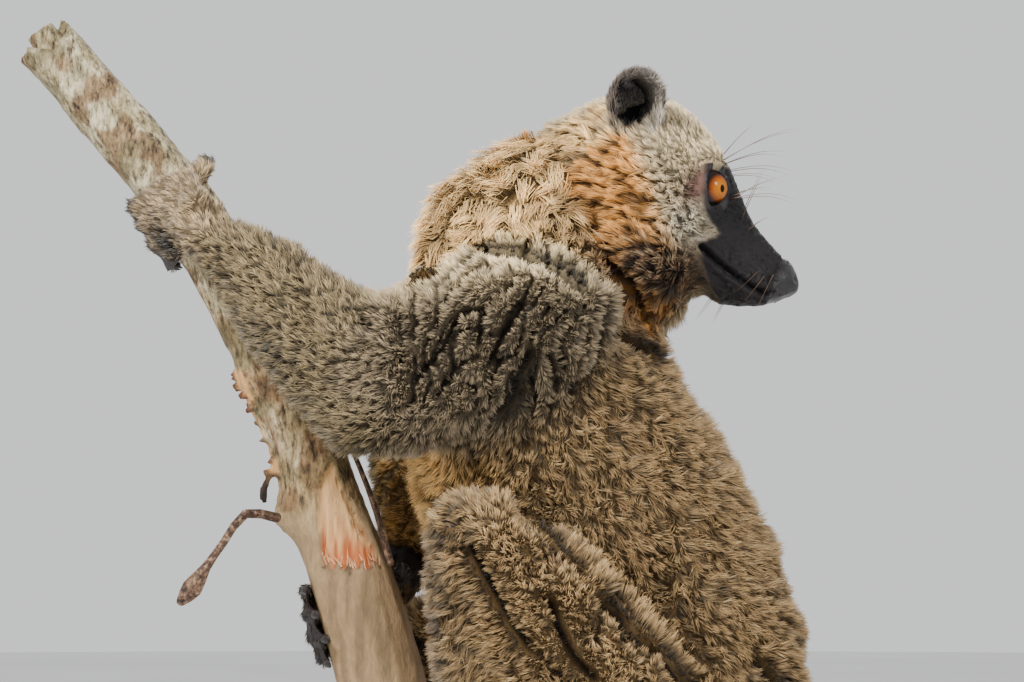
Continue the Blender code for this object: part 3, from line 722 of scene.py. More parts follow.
def lieField(normals, owner, edges):
    # the way the coat lies at each place on the skin
    flow = np.zeros((len(bodyNodes), 3))
    for number, node in enumerate(bodyNodes):
        start, end = lieOfCoat[node]
        low, high = boxes[node]
        middle = (low + high) / 2
        head = middleOf(end) if end != node else np.array([*middle[:2], low[2]])
        tail = middleOf(start) if start != node else np.array([*middle[:2], high[2]])
        flow[number] = unit(head - tail)
    flow[bodyNodes.index("head")] = unit(-ahead * 0.92 - above * 0.25)
    for side in bothSides:
        flow[bodyNodes.index("ear_" + side)] = above
    return flatten(spread(flow[owner], edges, 36), normals)


faceCoat = {"muzzle": 0.16, "forehead": 0.55, "ruff": 1.22, "muzzleLocks": 0.5, "foreheadLocks": 0.4,
            "ruffDraw": 0.22, "ruffClump": 0.6}


def coatFields(points, owner, edges):
    table = np.array([coatKinds[kindOf(node)] for node in bodyNodes])
    values = spread(table[owner], edges, 16)
    place = toHead(points)
    onHead = spread(isPart(owner, "head").astype(float), edges, 4)[:, 0]
    muzzle = ease(pastMaskEdge(place) / maskEdge["coatFade"] + 0.7) * onHead
    brow = ease((place[:, 2] - 0.008) / 0.012) * ease((place[:, 0] - 0.015) / 0.02) * onHead * (1 - muzzle)
    ruff = ease(behindEar(place) / 0.010 + 0.6) * onHead * ease((np.abs(place[:, 1]) - 0.004) / 0.012)
    ruff = ruff * (1 - muzzle)
    size = 1 + (faceCoat["forehead"] - 1) * brow + (faceCoat["ruff"] - 1) * ruff
    size = size * (1 + (faceCoat["muzzle"] - 1) * muzzle)
    values[:, 0] *= np.where(size > 1, size, size ** 1.4)
    values[:, 1] *= size
    values[:, 2] *= np.clip(size, 0.6, 1.15)
    values[:, 3] *= 1 + faceCoat["muzzleLocks"] * muzzle + faceCoat["foreheadLocks"] * brow
    values[:, 4] += faceCoat["ruffDraw"] * ruff
    values[:, 5] *= 1 + faceCoat["ruffClump"] * ruff
    return {name: values[:, number] for number, name in enumerate(coatMeasures)}, muzzle


unwrapForm = {"gap": 0.002, "slack": 1.15, "grow": 1.04, "edge": 0.004}


def unwrap(places, normals, owner):
    # flat charts, by body part and by the way the surface faces, packed in rows
    across = np.argmax(np.abs(normals), axis=1)
    facing = across * 2 + (normals[np.arange(len(normals)), across] > 0)
    chart = owner * 6 + facing
    flat = np.where(across[:, None] == 0, places[:, [1, 2]],
                    np.where(across[:, None] == 1, places[:, [0, 2]], places[:, [0, 1]]))
    sizes = {}
    for number in np.unique(chart):
        inside = chart == number
        low = flat[inside].min(axis=0)
        sizes[number] = (low, flat[inside].max(axis=0) - low + unwrapForm["gap"])
    side = math.sqrt(sum(size[0] * size[1] for _, size in sizes.values())) * unwrapForm["slack"]
    while True:
        corners, left, floorLine, tallest = {}, 0.0, 0.0, 0.0
        for number in sorted(sizes, key=lambda key: -sizes[key][1][1]):
            wide, tall = sizes[number][1]
            if left + wide > side:
                left, floorLine, tallest = 0.0, floorLine + tallest, 0.0
            corners[number] = np.array([left, floorLine])
            left, tallest = left + wide, max(tallest, tall)
        if floorLine + tallest <= side:
            break
        side *= unwrapForm["grow"]
    result = np.empty((len(places), 2))
    for number, (low, _) in sizes.items():
        inside = chart == number
        result[inside] = (flat[inside] - low + unwrapForm["gap"] / 2 + corners[number]) / side
    return unwrapForm["edge"] + result * (1 - 2 * unwrapForm["edge"])


# locks of coat: a straight one is a three-sided spike, a bent one a folded blade
spikeFaces = np.array([(0, 1, 3), (1, 2, 3), (2, 0, 3)])
spikePatch = 0.0015 * np.array([(-0.9, -0.7), (0.9, -0.7), (0, 0.2), (0, 1.0)])
bladeFaces = np.array([(0, 1, 4), (0, 4, 3), (1, 2, 5), (1, 5, 4), (3, 4, 6), (4, 5, 6)])
bladePatch = [(-0.9, -0.9), (0, -1.0), (0.9, -0.9), (-0.7, 0.1), (0, 0), (0.7, 0.1), (0, 1.0)]
bladePatch = 0.0015 * np.array(bladePatch)
coatBudget = {
    "triangles": 1390000, "largest": 196000, "bent": ("coat_neck", "coat_tail"), "bentShare": 1.7,
    "quickShare": 0.3, "partingThin": 0.45, "plainTips": 0.35, "tameWander": 0.6,
}
lockColour = {
    "root": 0.07, "middle": 0.84, "tip": 1.92, "cream": srgb(224, 202, 160), "maskRoot": 0.85,
    "partingShade": 0.94, "edgeShade": 0.60, "edgeShadeBent": 0.36, "clumpTint": 0.34,
    "creamFrom": 0.50, "creamFade": 0.35, "creamShare": 0.50, "maskTip": 0.8,
}
lockForm = {
    "sink": 0.0005, "squeeze": 0.42, "dome": 0.52, "domeDrop": 0.34, "wander": 0.34, "clumpWander": 0.60,
    "calmWander": 0.4, "calmReach": 0.78, "uneven": 0.26, "unevenBent": 0.62, "tall": 0.98,
    "tallSpread": 0.07, "partingHeight": 0.62, "partingLength": 0.40, "leastReach": 0.35,
    "spikeWidth": 1.9, "sideways": 0.10, "bendAt": 0.40, "bendHeight": 0.66, "bendDraw": 0.42,
    "rootRidge": 0.7, "waist": 0.92, "waistRidge": 0.62, "spikeRidge": 1.2,
}
# each lock takes the first value and up to the second more
lockSpans = {"length": (0.86, 0.28), "close": (0.75, 0.25), "width": (0.75, 0.5), "tint": (0.84, 0.30)}


def growCoat(name, bent, chosen, shares, skinData, generator, material):
    triangles = skinData["triangles"]

    def mixed(field):
        corners = skinData[field][triangles[chosen]]
        if corners.ndim == 2:
            return np.sum(corners * shares, axis=1)
        return np.sum(corners * shares[:, :, None], axis=1)

    def varied(measure):
        least, more = lockSpans[measure]
        return least + more * generator.random(count)

    count = len(chosen)
    root, normal = mixed("points"), unit(mixed("normals"))
    flow = flatten(mixed("flow"), normal)
    depth, length, width = mixed("depth"), mixed("length"), mixed("width")
    draw, clump, colour, mask = mixed("draw"), mixed("clump"), mixed("colour"), mixed("mask")
    parting, lean, calm = furrows(root, mixed("masks"))
    owner = skinData["owner"][triangles[chosen][:, 0]]

    # a few roots stand for each clump, whose tips draw together
    chance = (skinData["spacing"] / clump) ** 2
    leading = min(count, max(1, int(chance.sum())))
    leaders = generator.choice(count, leading, replace=False, p=chance / chance.sum())
    along = unit(flow.mean(axis=0))
    squeezed = root - along * (root @ along * lockForm["squeeze"])[:, None]
    tree = KDTree(len(leaders))
    for number, leader in enumerate(leaders):
        tree.insert(squeezed[leader], number)
    tree.balance()
    belongs = leaders[[tree.find(place)[1] for place in squeezed]]
    edge = np.linalg.norm(squeezed - squeezed[belongs], axis=1) / (lockForm["dome"] * clump)
    edge = np.clip(edge, 0, 1) ** 2

    wander = generator.normal(0, lockForm["wander"], count)
    wander = wander + generator.normal(0, lockForm["clumpWander"], count)[belongs]
    wander = wander * skinData["loose"][owner] * (1 - lockForm["calmWander"] * calm)
    across = np.cross(normal, flow)
    way = flow * np.cos(wander)[:, None] + across * np.sin(wander)[:, None]
    side = np.cross(normal, way)
    uneven = lockForm["unevenBent" if bent else "uneven"]
    tall = lockForm["tall"] - uneven / 2 + uneven * generator.random(count)[belongs]
    tall = tall + generator.normal(0, lockForm["tallSpread"], count)
    height = depth * tall * (1 - lockForm["partingHeight"] * parting)
    length = length * varied("length") * (1 - lockForm["partingLength"] * parting)
    reach = np.sqrt(np.maximum(length ** 2 - height ** 2, (lockForm["leastReach"] * length) ** 2))
    reach = reach * (1 - lockForm["calmReach"] * calm)
    tip = root + way * reach[:, None] + normal * height[:, None]
    close = draw[:, None] * varied("close")[:, None]
    tip = tip + (tip[belongs] - tip) * close
    tip = tip + lean - normal * (lockForm["domeDrop"] * edge * depth)[:, None]
    upper = unit(np.cross(unit(tip - root), side))
    upper = np.where(np.sum(upper * normal, axis=1, keepdims=True) < 0, -upper, upper)
    half = (width * varied("width") / 2)[:, None]
    low = root - normal * lockForm["sink"]
    if bent:
        middle = root + way * (reach * lockForm["bendAt"])[:, None]
        middle = middle + normal * (height * lockForm["bendHeight"])[:, None]
        middle = middle + (middle[belongs] - middle) * close * lockForm["bendDraw"]
        middle = middle + side * (generator.normal(0, lockForm["sideways"], count) * length)[:, None]
        points = np.stack([
            low - side * half, low + upper * half * lockForm["rootRidge"], low + side * half,
            middle - side * half * lockForm["waist"], middle + upper * half * lockForm["waistRidge"],
            middle + side * half * lockForm["waist"], tip,
        ], axis=1)
        faces, patch = bladeFaces, bladePatch
    else:
        half = half * lockForm["spikeWidth"]
        ridge = low + upper * half * lockForm["spikeRidge"]
        points = np.stack([low - side * half, low + side * half, ridge, tip], axis=1)
        faces, patch = spikeFaces, spikePatch

    # dark roots and pale tips; some tips turn cream, and the face's mask keeps one tone
    cream = generator.random(count)
    tint = varied("tint") + lockColour["clumpTint"] * (generator.random(count)[belongs] - 0.5)
    tint = tint * (1 - lockColour["partingShade"] * parting ** 0.7)
    tint = tint * (1 - lockColour["edgeShadeBent" if bent else "edgeShade"] * edge)
    base = colour * tint[:, None]
    pale = ease((cream - lockColour["creamFrom"]) / lockColour["creamFade"]) * lockColour["creamShare"]
    pale = pale * skinData["agouti"][owner] * (1 - mask)
    tipColour = base * lockColour["tip"] + (lockColour["cream"] * tint[:, None] - base) * pale[:, None]
    tipColour = tipColour + (base - tipColour) * lockColour["maskTip"] * mask[:, None]
    dark = (lockColour["root"] + (lockColour["maskRoot"] - lockColour["root"]) * mask)[:, None]
    rows = [base * dark] * 3 + ([base * lockColour["middle"]] * 3 if bent else []) + [tipColour]

    mesh = bpy.data.meshes.new(name)
    size = points.shape[1]
    corners = (faces[None] + np.arange(count)[:, None, None] * size).reshape(-1)
    mesh.vertices.add(count * size)
    mesh.vertices.foreach_set("co", points.astype(np.float32).ravel())
    mesh.loops.add(len(corners))
    mesh.loops.foreach_set("vertex_index", corners.astype(np.int32))
    mesh.polygons.add(len(corners) // 3)
    mesh.polygons.foreach_set("loop_start", np.arange(0, len(corners), 3, dtype=np.int32))
    smoothAll(mesh)
    mesh.update(calc_edges=True)
    storeColour(mesh, "markings", np.stack(rows, axis=1).reshape(-1, 3))
    layer = mesh.uv_layers.new(name="OFBake")
    spots = (unwrap(root, normal, owner)[:, None, :] + patch[None]).reshape(-1, 2)
    layer.data.foreach_set("uv", spots[corners].astype(np.float32).ravel())
    mesh.materials.append(material)
    coat = newObject(name, mesh)
    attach(coat, "root")


def newMaterial(name):
    made = bpy.data.materials.new(name)
    made.use_nodes = True
    tree = made.node_tree
    return made, tree, tree.nodes["Principled BSDF"]


def addNode(tree, kind, **settings):
    node = tree.nodes.new(kind)
    for key, value in settings.items():
        setattr(node, key, value)
    return node


def setInputs(node, values):
    for name, value in values.items():
        node.inputs[name].default_value = value


def attributeOn(tree, name, output="Fac"):
    return addNode(tree, "ShaderNodeAttribute", attribute_name=name).outputs[output]


def placeOn(tree):
    return addNode(tree, "ShaderNodeTexCoord").outputs["Object"]


def turnedOn(tree, place, **values):
    node = addNode(tree, "ShaderNodeMapping")
    setInputs(node, values)
    tree.links.new(place, node.inputs["Vector"])
    return node.outputs["Vector"]


def noiseOn(tree, vector, scale, detail=3.0, roughness=0.55):
    node = addNode(tree, "ShaderNodeTexNoise")
    setInputs(node, {"Scale": scale, "Detail": detail, "Roughness": roughness})
    tree.links.new(vector, node.inputs["Vector"])
    return node.outputs["Fac"]


def rampOn(tree, value, stops):
    node = addNode(tree, "ShaderNodeValToRGB")
    ramp = node.color_ramp
    while len(ramp.elements) < len(stops):
        ramp.elements.new(0.5)
    for element, (place, colour) in zip(ramp.elements, stops):
        element.position = place
        element.color = (*colour, 1.0)
    tree.links.new(value, node.inputs["Fac"])
    return node.outputs["Color"]


def multiplyOn(tree, first, second):
    node = addNode(tree, "ShaderNodeMix", data_type="RGBA", blend_type="MULTIPLY")
    node.inputs["Factor"].default_value = 1.0
    tree.links.new(first, node.inputs["A"])
    tree.links.new(second, node.inputs["B"])
    return node.outputs["Result"]


def bumpOn(tree, shader, value, strength, distance):
    node = addNode(tree, "ShaderNodeBump")
    setInputs(node, {"Strength": strength, "Distance": distance})
    tree.links.new(value, node.inputs["Height"])
    tree.links.new(node.outputs["Normal"], shader.inputs["Normal"])


def paintOn(tree, shader, tone):
    # the stored markings, darkened by a tone
    marks = attributeOn(tree, "markings", "Color")
    tree.links.new(multiplyOn(tree, marks, tone), shader.inputs["Base Color"])


def speckledMaterial(name, noise, stops, inputs, bump=None):
    # one noise, given by its scale, detail and roughness, coloured by the stops of a ramp
    made, tree, shader = newMaterial(name)
    speckle = noiseOn(tree, placeOn(tree), *noise)
    tree.links.new(rampOn(tree, speckle, stops), shader.inputs["Base Color"])
    setInputs(shader, inputs)
    if bump:
        bumpOn(tree, shader, speckle, *bump)
    return made


def coatMaterial():
    made, tree, shader = newMaterial("woolly coat")
    patchy = noiseOn(tree, placeOn(tree), 160.0, 2.0)
    tone = rampOn(tree, patchy, [(0.30, (0.80, 0.78, 0.75)), (0.72, white)])
    paintOn(tree, shader, tone)
    setInputs(shader, {"Roughness": 0.72, "Specular IOR Level": 0.22, "Sheen Weight": 0.10,
                       "Sheen Roughness": 0.5})
    return made


def skinMaterial():
    made, tree, shader = newMaterial("skin")
    pores = noiseOn(tree, placeOn(tree), 1500.0, 3.0)
    tone = rampOn(tree, pores, [(0.30, (0.62, 0.60, 0.60)), (0.70, white)])
    paintOn(tree, shader, tone)
    bare = attributeOn(tree, "bare")
    for name, underCoat, onBare in (("Roughness", 0.86, 0.40), ("Specular IOR Level", 0.08, 0.42)):
        between = addNode(tree, "ShaderNodeMapRange")
        setInputs(between, {"To Min": underCoat, "To Max": onBare})
        tree.links.new(bare, between.inputs["Value"])
        tree.links.new(between.outputs["Result"], shader.inputs[name])
    bumpOn(tree, shader, pores, 0.6, 0.0005)
    return made


# the animal's skin: joined, smoothed, then drawn in by the depth of the coat
tell("skin")
skin, ownerTree, owners = buildSkin()
refineFace(skin)
mesh = skin.data
points, edges, triangles = meshPoints(mesh), meshEdges(mesh), meshTriangles(mesh)
owner = owners[[ownerTree.find(point)[1] for point in points]]
points = softenPoints(points, edges, skinForm["smoothRounds"], np.ones(len(points)))
broad = isPart(owner, "torso", "neck", "upper_arm_left", "upper_arm_right").astype(float)
broad = spread(broad, edges, skinForm["broadEdge"]) ** 2
points = points + (spread(points, edges, skinForm["broadRounds"]) - points) * broad
points = foldShoulder(points, broad[:, 0])
points = points + (spread(points, edges, skinForm["foldRounds"]) - points) * broad
onFace = ease((toHead(points)[:, 0] - skinForm["faceStart"]) / 0.02) * (points[:, 2] > faceForm["lowest"])
points = softenPoints(points, edges, skinForm["faceRounds"], onFace)
movePoints(mesh, points)
normals = meshNormals(mesh)
fields, muzzle = coatFields(points, owner, edges)
flow = lieField(normals, owner, edges)
masks = furrowMasks(owner, edges)
outline = points.copy()
points = points - normals * fields["depth"][:, None]
parting = furrows(points, masks)[0]
points = points - normals * (furrowForm["depth"] * parting)[:, None]
points = spread(points, edges, 2)
points, earBowl = hollowEars(points, normals)
points = openLids(carveFace(points, normals))
movePoints(mesh, points)
normals = meshNormals(mesh)
flow = flatten(flow, normals)

tell("markings")
digits = digitShare(outline, owner)
colours = paintHead(outline, owner, paintBody(outline, normals, owner, edges, digits))
low, high = boxes["ear_right"]
frontEar = ease((outline[:, 0] - low[0]) / (high[0] - low[0]) * 2 - 0.55)
frontEar = frontEar * isPart(owner, "ear_left", "ear_right")
colours = blendTo(colours, markings["earFringe"], 0.75 * frontEar * (1 - earBowl))
colours = blendTo(colours, markings["earInside"], np.clip(earBowl * 1.6, 0, 1))
lids, eyeGap = np.minimum(lidShare(points, -1)[:2], lidShare(points, 1)[:2])
lidEdge = np.where(eyeGap < faceForm["eyeRim"], bell((lids - 1.0) / faceForm["darkLids"]), 0)
nearEye = eyeGap < faceForm["nearEye"]
colours = blendTo(colours, markings["lidEdge"], np.clip(lidEdge * 1.1, 0, 1))
noseTip = ease((toHead(outline)[:, 0] - 0.1040) / 0.004) * muzzle
bare = bareShares["muzzle"] * muzzle + bareShares["noseTip"] * noseTip
bare = np.clip(bare + bareShares["lidEdge"] * lidEdge + bareShares["digits"] * digits, 0, 1)
furred = 1 - np.clip(muzzle + digits + nearEye, 0, 1)
shade = (1 - markings["rootShade"] * furred) * (1 - markings["partingShade"] * parting * furred)
storeColour(mesh, "markings", colours * shade[:, None])
storeValue(mesh, "bare", bare)
smoothAll(mesh)
mesh.materials.clear()
mesh.materials.append(skinMaterial())
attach(skin, "root")
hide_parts(*bodyNodes)

# the coat: as many locks as the budget allows, shared out by how thick it grows
tell("coat")
bald = np.clip((lids < faceForm["bareLids"]) * nearEye + (eyeGap < faceForm["bareEye"]), 0, 1)
for share in (noseTip, 0.9 * earBowl, 0.85 * digits, 0.45 * muzzle):
    bald = np.maximum(bald, share)
tame = ("head", "ear", "tail", "hand", "foot")
skinData = {
    "points": points, "normals": normals, "triangles": triangles, "flow": flow, "masks": masks,
    "colour": colours, "owner": owner, "mask": muzzle,
    "agouti": np.array([coatBudget["plainTips"] if node.startswith(("ear", "tail")) else 1.0
                        for node in bodyNodes]),
    "loose": np.array([coatBudget["tameWander"] if node.startswith(tame) else 1.0 for node in bodyNodes]),
}
skinData.update({name: fields[name] for name in ("depth", "length", "width", "draw", "clump")})
thickness = fields["locks"] * (1 - bald) * (1 - coatBudget["partingThin"] * parting)
area = triangleAreas(points, triangles)
share = thickness[triangles].mean(axis=1)
weights = area * share
wool = coatMaterial()
generator = np.random.default_rng(randomSeed + 1)
regions = {
    "coat_head": ["head", "ear_left", "ear_right"], "coat_neck": ["neck"], "coat_body": ["torso"],
    "coat_tail": ["tail_base", "tail_middle", "tail_end"],
}
for side in bothSides:
    regions["coat_arm_" + side] = [limb + "_" + side for limb in limbNames[:3]]
    regions["coat_leg_" + side] = [limb + "_" + side for limb in limbNames[3:]]
insides = {region: isPart(owner[triangles[:, 0]], *nodes) for region, nodes in regions.items()}
perLock = {region: 6 if region in coatBudget["bent"] else 3 for region in regions}
sparse = {region: coatBudget["bentShare"] if region in coatBudget["bent"] else 1 for region in regions}
whole = coatBudget["triangles"] * 1
asked = sum(weights[insides[region]].sum() * perLock[region] / sparse[region] for region in regions)
height = points[triangles[:, 0]][:, 2]
for region, inside in insides.items():
    density = whole / asked / sparse[region]
    most = coatBudget["largest"]
    parts = math.ceil(weights[inside].sum() * density * perLock[region] / most)
    cuts = np.quantile(height[inside], np.linspace(0, 1, parts + 1))
    for part in range(parts):
        below = height <= cuts[part + 1] if part == parts - 1 else height < cuts[part + 1]
        band = np.nonzero(inside & (height >= cuts[part]) & below)[0]
        count = min(int(weights[band].sum() * density), most // perLock[region])
        own, _, shares = scatter(points, triangles[band], share[band], count, generator)
        skinData["spacing"] = math.sqrt(area[band].sum() / count)
        name = region if parts == 1 else region + "_" + str(part + 1)
        growCoat(name, region in coatBudget["bent"], band[own], shares, skinData, generator, wool)
        print("  ", name, count, "locks")


eyeForm = {"pupilWide": 0.135, "pupilTall": 0.190, "cornea": 0.0005, "corneaFrom": 0.74, "spokes": 3}


def eyeMaterial():
    made, tree, shader = newMaterial("eye")
    amber = rampOn(tree, attributeOn(tree, "gaze"), [
        (0.18, srgb(172, 104, 6)), (0.44, srgb(150, 82, 2)), (0.60, srgb(100, 44, 4)),
        (0.69, srgb(34, 14, 5)), (0.75, srgb(12, 8, 6)), (0.98, srgb(30, 22, 20))])
    fine = noiseOn(tree, attributeOn(tree, "spokes", "Vector"), 9.0, 2.0)
    tone = rampOn(tree, fine, [(0.30, (0.62, 0.55, 0.50)), (0.66, white)])
    dark = rampOn(tree, attributeOn(tree, "pupil"), [(0.46, (0.004, 0.003, 0.003)), (0.54, white)])
    tree.links.new(multiplyOn(tree, multiplyOn(tree, amber, tone), dark), shader.inputs["Base Color"])
    setInputs(shader, {"Roughness": 0.6, "Specular IOR Level": 0.02, "Coat Weight": 0.38,
                       "Coat Roughness": 0.02})
    return made


def buildEye(side, surface):
    name = "eye_left" if side > 0 else "eye_right"
    bm = bmesh.new()
    bmesh.ops.create_uvsphere(bm, u_segments=72, v_segments=48, radius=faceForm["eyeRadius"])
    gaze, wide, tall = eyeAxes(side)
    turn = Matrix((wide, tall, gaze)).transposed()
    for vert in bm.verts:
        bulge = max(0.0, vert.co.normalized().z - eyeForm["corneaFrom"]) / (1 - eyeForm["corneaFrom"])
        vert.co += vert.co.normalized() * eyeForm["cornea"] * bulge
    mesh = meshFrom(bm, "eyeball")
    local = unit(meshPoints(mesh))
    ahead = local[:, 2] > 0
    out = np.hypot(local[:, 0], local[:, 1])
    storeValue(mesh, "gaze", np.where(ahead, out, 2 - out))
    reach = np.hypot(local[:, 0] / eyeForm["pupilWide"], local[:, 1] / eyeForm["pupilTall"])
    storeValue(mesh, "pupil", np.where(ahead, reach / 2, 1))
    layer = mesh.attributes.new("spokes", "FLOAT_VECTOR", "POINT")
    angle = np.arctan2(local[:, 1], local[:, 0])
    rays = np.stack([np.cos(angle) * eyeForm["spokes"], np.sin(angle) * eyeForm["spokes"], out], axis=1)
    layer.data.foreach_set("vector", rays.astype(np.float32).ravel())
    mesh.transform(Matrix.Translation(middleOf(name)) @ turn.to_4x4())
    smoothAll(mesh)
    mesh.materials.append(surface)
    ball = newObject("eyeball_" + name[4:], mesh)
    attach(ball, "root")
    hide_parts(name)


tell("eyes")
amberEye = eyeMaterial()
for side in (-1, 1):
    buildEye(side, amberEye)


# nails: place, the way the digit points, the way its back faces, and half width
nails = [
    ((-0.1388, 0.0066, 0.6844), (0.20, 0.97, 0.14), (-0.78, 0.34, -0.53), 0.0034),
    ((-0.1314, 0.0110, 0.6774), (0.39, 0.88, 0.27), (-0.68, 0.56, -0.47), 0.0036),
    ((-0.1241, 0.0127, 0.6690), (0.46, 0.83, 0.32), (-0.63, 0.64, -0.43), 0.0036),
    ((-0.1203, 0.0082, 0.6583), (0.26, 0.95, 0.17), (-0.75, 0.41, -0.52), 0.0034),
    ((-0.1101, 0.0108, 0.7028), (-0.36, 0.90, -0.25), (0.70, 0.53, 0.48), 0.0040),
    ((-0.0655, -0.0102, 0.5207), (0.23, -0.97, 0.06), (-0.91, -0.34, -0.25), 0.0034),
    ((-0.0605, -0.0147, 0.5107), (0.42, -0.90, 0.12), (-0.82, -0.53, -0.23), 0.0036),
    ((-0.0561, -0.0166, 0.5005), (0.51, -0.85, 0.14), (-0.76, -0.62, -0.21), 0.0036),
    ((-0.0554, -0.0130, 0.4898), (0.36, -0.93, 0.10), (-0.85, -0.47, -0.24), 0.0034),
    ((-0.0208, -0.0068, 0.5310), (-0.07, -1.00, -0.02), (0.95, -0.17, 0.26), 0.0042),
    ((-0.0508, -0.0078, 0.4566), (-0.43, 0.90, -0.10), (-0.91, -0.34, -0.22), 0.0036),
    ((-0.0495, -0.0007, 0.4455), (-0.17, 0.98, -0.04), (-0.97, -0.07, -0.24), 0.0038),
    ((-0.0468, 0.0021, 0.4349), (-0.07, 1.00, -0.02), (-0.97, 0.03, -0.24), 0.0038),
    ((-0.0440, -0.0014, 0.4243), (-0.20, 0.98, -0.05), (-0.97, -0.10, -0.24), 0.0036),
    ((-0.0162, 0.0261, 0.4527), (-0.86, 0.47, -0.21), (0.36, 0.93, 0.09), 0.0052),
    ((-0.0417, 0.0077, 0.4179), (-0.43, -0.90, -0.10), (-0.92, 0.34, -0.21), 0.0036),
    ((-0.0406, 0.0007, 0.4069), (-0.17, -0.98, -0.04), (-0.97, 0.07, -0.22), 0.0038),
    ((-0.0381, -0.0018, 0.3962), (-0.07, -1.00, -0.02), (-0.97, -0.03, -0.22), 0.0038),
    ((-0.0354, 0.0020, 0.3855), (-0.20, -0.98, -0.05), (-0.97, 0.10, -0.22), 0.0036),
    ((-0.0065, -0.0265, 0.4137), (-0.86, -0.47, -0.20), (0.37, -0.93, 0.08), 0.0052),
]
nailForm = {
    "across": 0.35, "bend": 0.22, "inset": 0.30, "wide": 0.58, "long": 0.95, "thick": 0.22, "lift": 0.18,
}


def buildNails():
    bm = bmesh.new()
    for place, way, back, half in nails:
        made = bmesh.ops.create_uvsphere(bm, u_segments=14, v_segments=10, radius=1.0)["verts"]
        way = unit(np.array(way))
        back = unit(np.array(back) - way * (np.array(back) @ way))
        side = np.cross(back, way)
        inner = np.array(place) - back * half * nailForm["inset"]
        for vert in made:
            # a narrow plate, arched across and bent down at its tip
            x, y, z = vert.co
            arch = -nailForm["across"] * x * x - nailForm["bend"] * max(0.0, y) ** 2
            rise = back * half * (nailForm["thick"] * z + arch + nailForm["lift"])
            flat = side * x * half * nailForm["wide"] + way * (y * half * nailForm["long"])
            vert.co = Vector(inner + flat + rise)
    bmesh.ops.recalc_face_normals(bm, faces=bm.faces)
    mesh = meshFrom(bm, "nails")
    smoothAll(mesh)
    mesh.materials.append(speckledMaterial(
        "dark horn", (1400.0, 2.0), [(0.3, srgb(18, 14, 13)), (0.7, srgb(44, 36, 32))],
        {"Specular IOR Level": 0.25, "Roughness": 0.46}, (0.15, 0.0002)))
    made = newObject("nails", mesh)
    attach(made, "root")


tell("nails")
buildNails()


# brow and lip hairs: root and tip ahead and above on the head, how far aside, and thickness
whiskers = [
    (0.0588, 0.0262, 0.066, 0.048, 0.01, 0.02, 0.0002),
    (0.06, 0.025, 0.086, 0.056, 0.01, 0.024, 0.00022),
    (0.0612, 0.0242, 0.085, 0.043, 0.011, 0.028, 0.00022),
    (0.0618, 0.0225, 0.0935, 0.037, 0.011, 0.026, 0.00024),
    (0.064, 0.021, 0.09, 0.031, 0.01, 0.022, 0.0002),
    (0.069, 0.0135, 0.086, 0.027, 0.01, 0.022, 0.00022),
    (0.0695, 0.0125, 0.099, 0.027, 0.01, 0.026, 0.00024),
    (0.07, 0.0118, 0.087, 0.033, 0.009, 0.02, 0.0002),
    (0.0798, 0.0088, 0.078, 0.033, 0.008, 0.016, 0.00024),
    (0.085, 0.0068, 0.0905, 0.016, 0.007, 0.014, 0.0002),
    (0.096, -0.008, 0.09, -0.022, 0.01, 0.03, 0.00018),
    (0.099, -0.007, 0.096, -0.024, 0.009, 0.03, 0.00018),
    (0.102, -0.006, 0.103, -0.023, 0.008, 0.026, 0.00018),
    (0.09, -0.025, 0.09, -0.036, 0.006, 0.01, 0.00018),
    (0.084, -0.027, 0.083, -0.038, 0.006, 0.011, 0.00018),
]
whiskerForm = {
    "steps": 6, "arch": 0.10, "archBelow": -0.6, "turns": (0, 2.094, 4.189), "aside": (0.3, 0.9, 0.2),
    "rootSize": 1.02,
}


def buildWhiskers():
    tree = KDTree(len(points))
    for number, point in enumerate(points):
        tree.insert(point, number)
    tree.balance()
    bm = bmesh.new()
    for along, up, tipAlong, tipUp, aside, tipAside, thick in whiskers:
        for side in (-1, 1):
            start = np.array(tree.find(fromHead(along, aside * side, up))[0])
            end = fromHead(tipAlong, tipAside * side, tipUp)
            arch = whiskerForm["arch"] * np.linalg.norm(end - start)
            way = unit(end - start)
            one = unit(np.cross(way, np.array(whiskerForm["aside"])))
            two = np.cross(way, one)
            rings = []
            for step in range(whiskerForm["steps"] + 1):
                share = step / whiskerForm["steps"]
                centre = start + (end - start) * share
                rise = arch * math.sin(math.pi * share) * (1 if up > 0 else whiskerForm["archBelow"])
                centre = centre + above * rise
                size = thick * (whiskerForm["rootSize"] - share)
                rings.append([bm.verts.new(centre + (one * math.cos(turn) + two * math.sin(turn)) * size)
                              for turn in whiskerForm["turns"]])
            bridgeRings(bm, rings)
            bm.faces.new(rings[-1])
    bmesh.ops.recalc_face_normals(bm, faces=bm.faces)
    mesh = meshFrom(bm, "whiskers")
    mesh.materials.append(speckledMaterial(
        "whisker", (90.0,), [(0.35, srgb(40, 26, 18)), (0.65, srgb(96, 66, 44))], {"Roughness": 0.5}))
    thing = newObject("whiskers", mesh)
    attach(thing, "root")


tell("whiskers")
buildWhiskers()


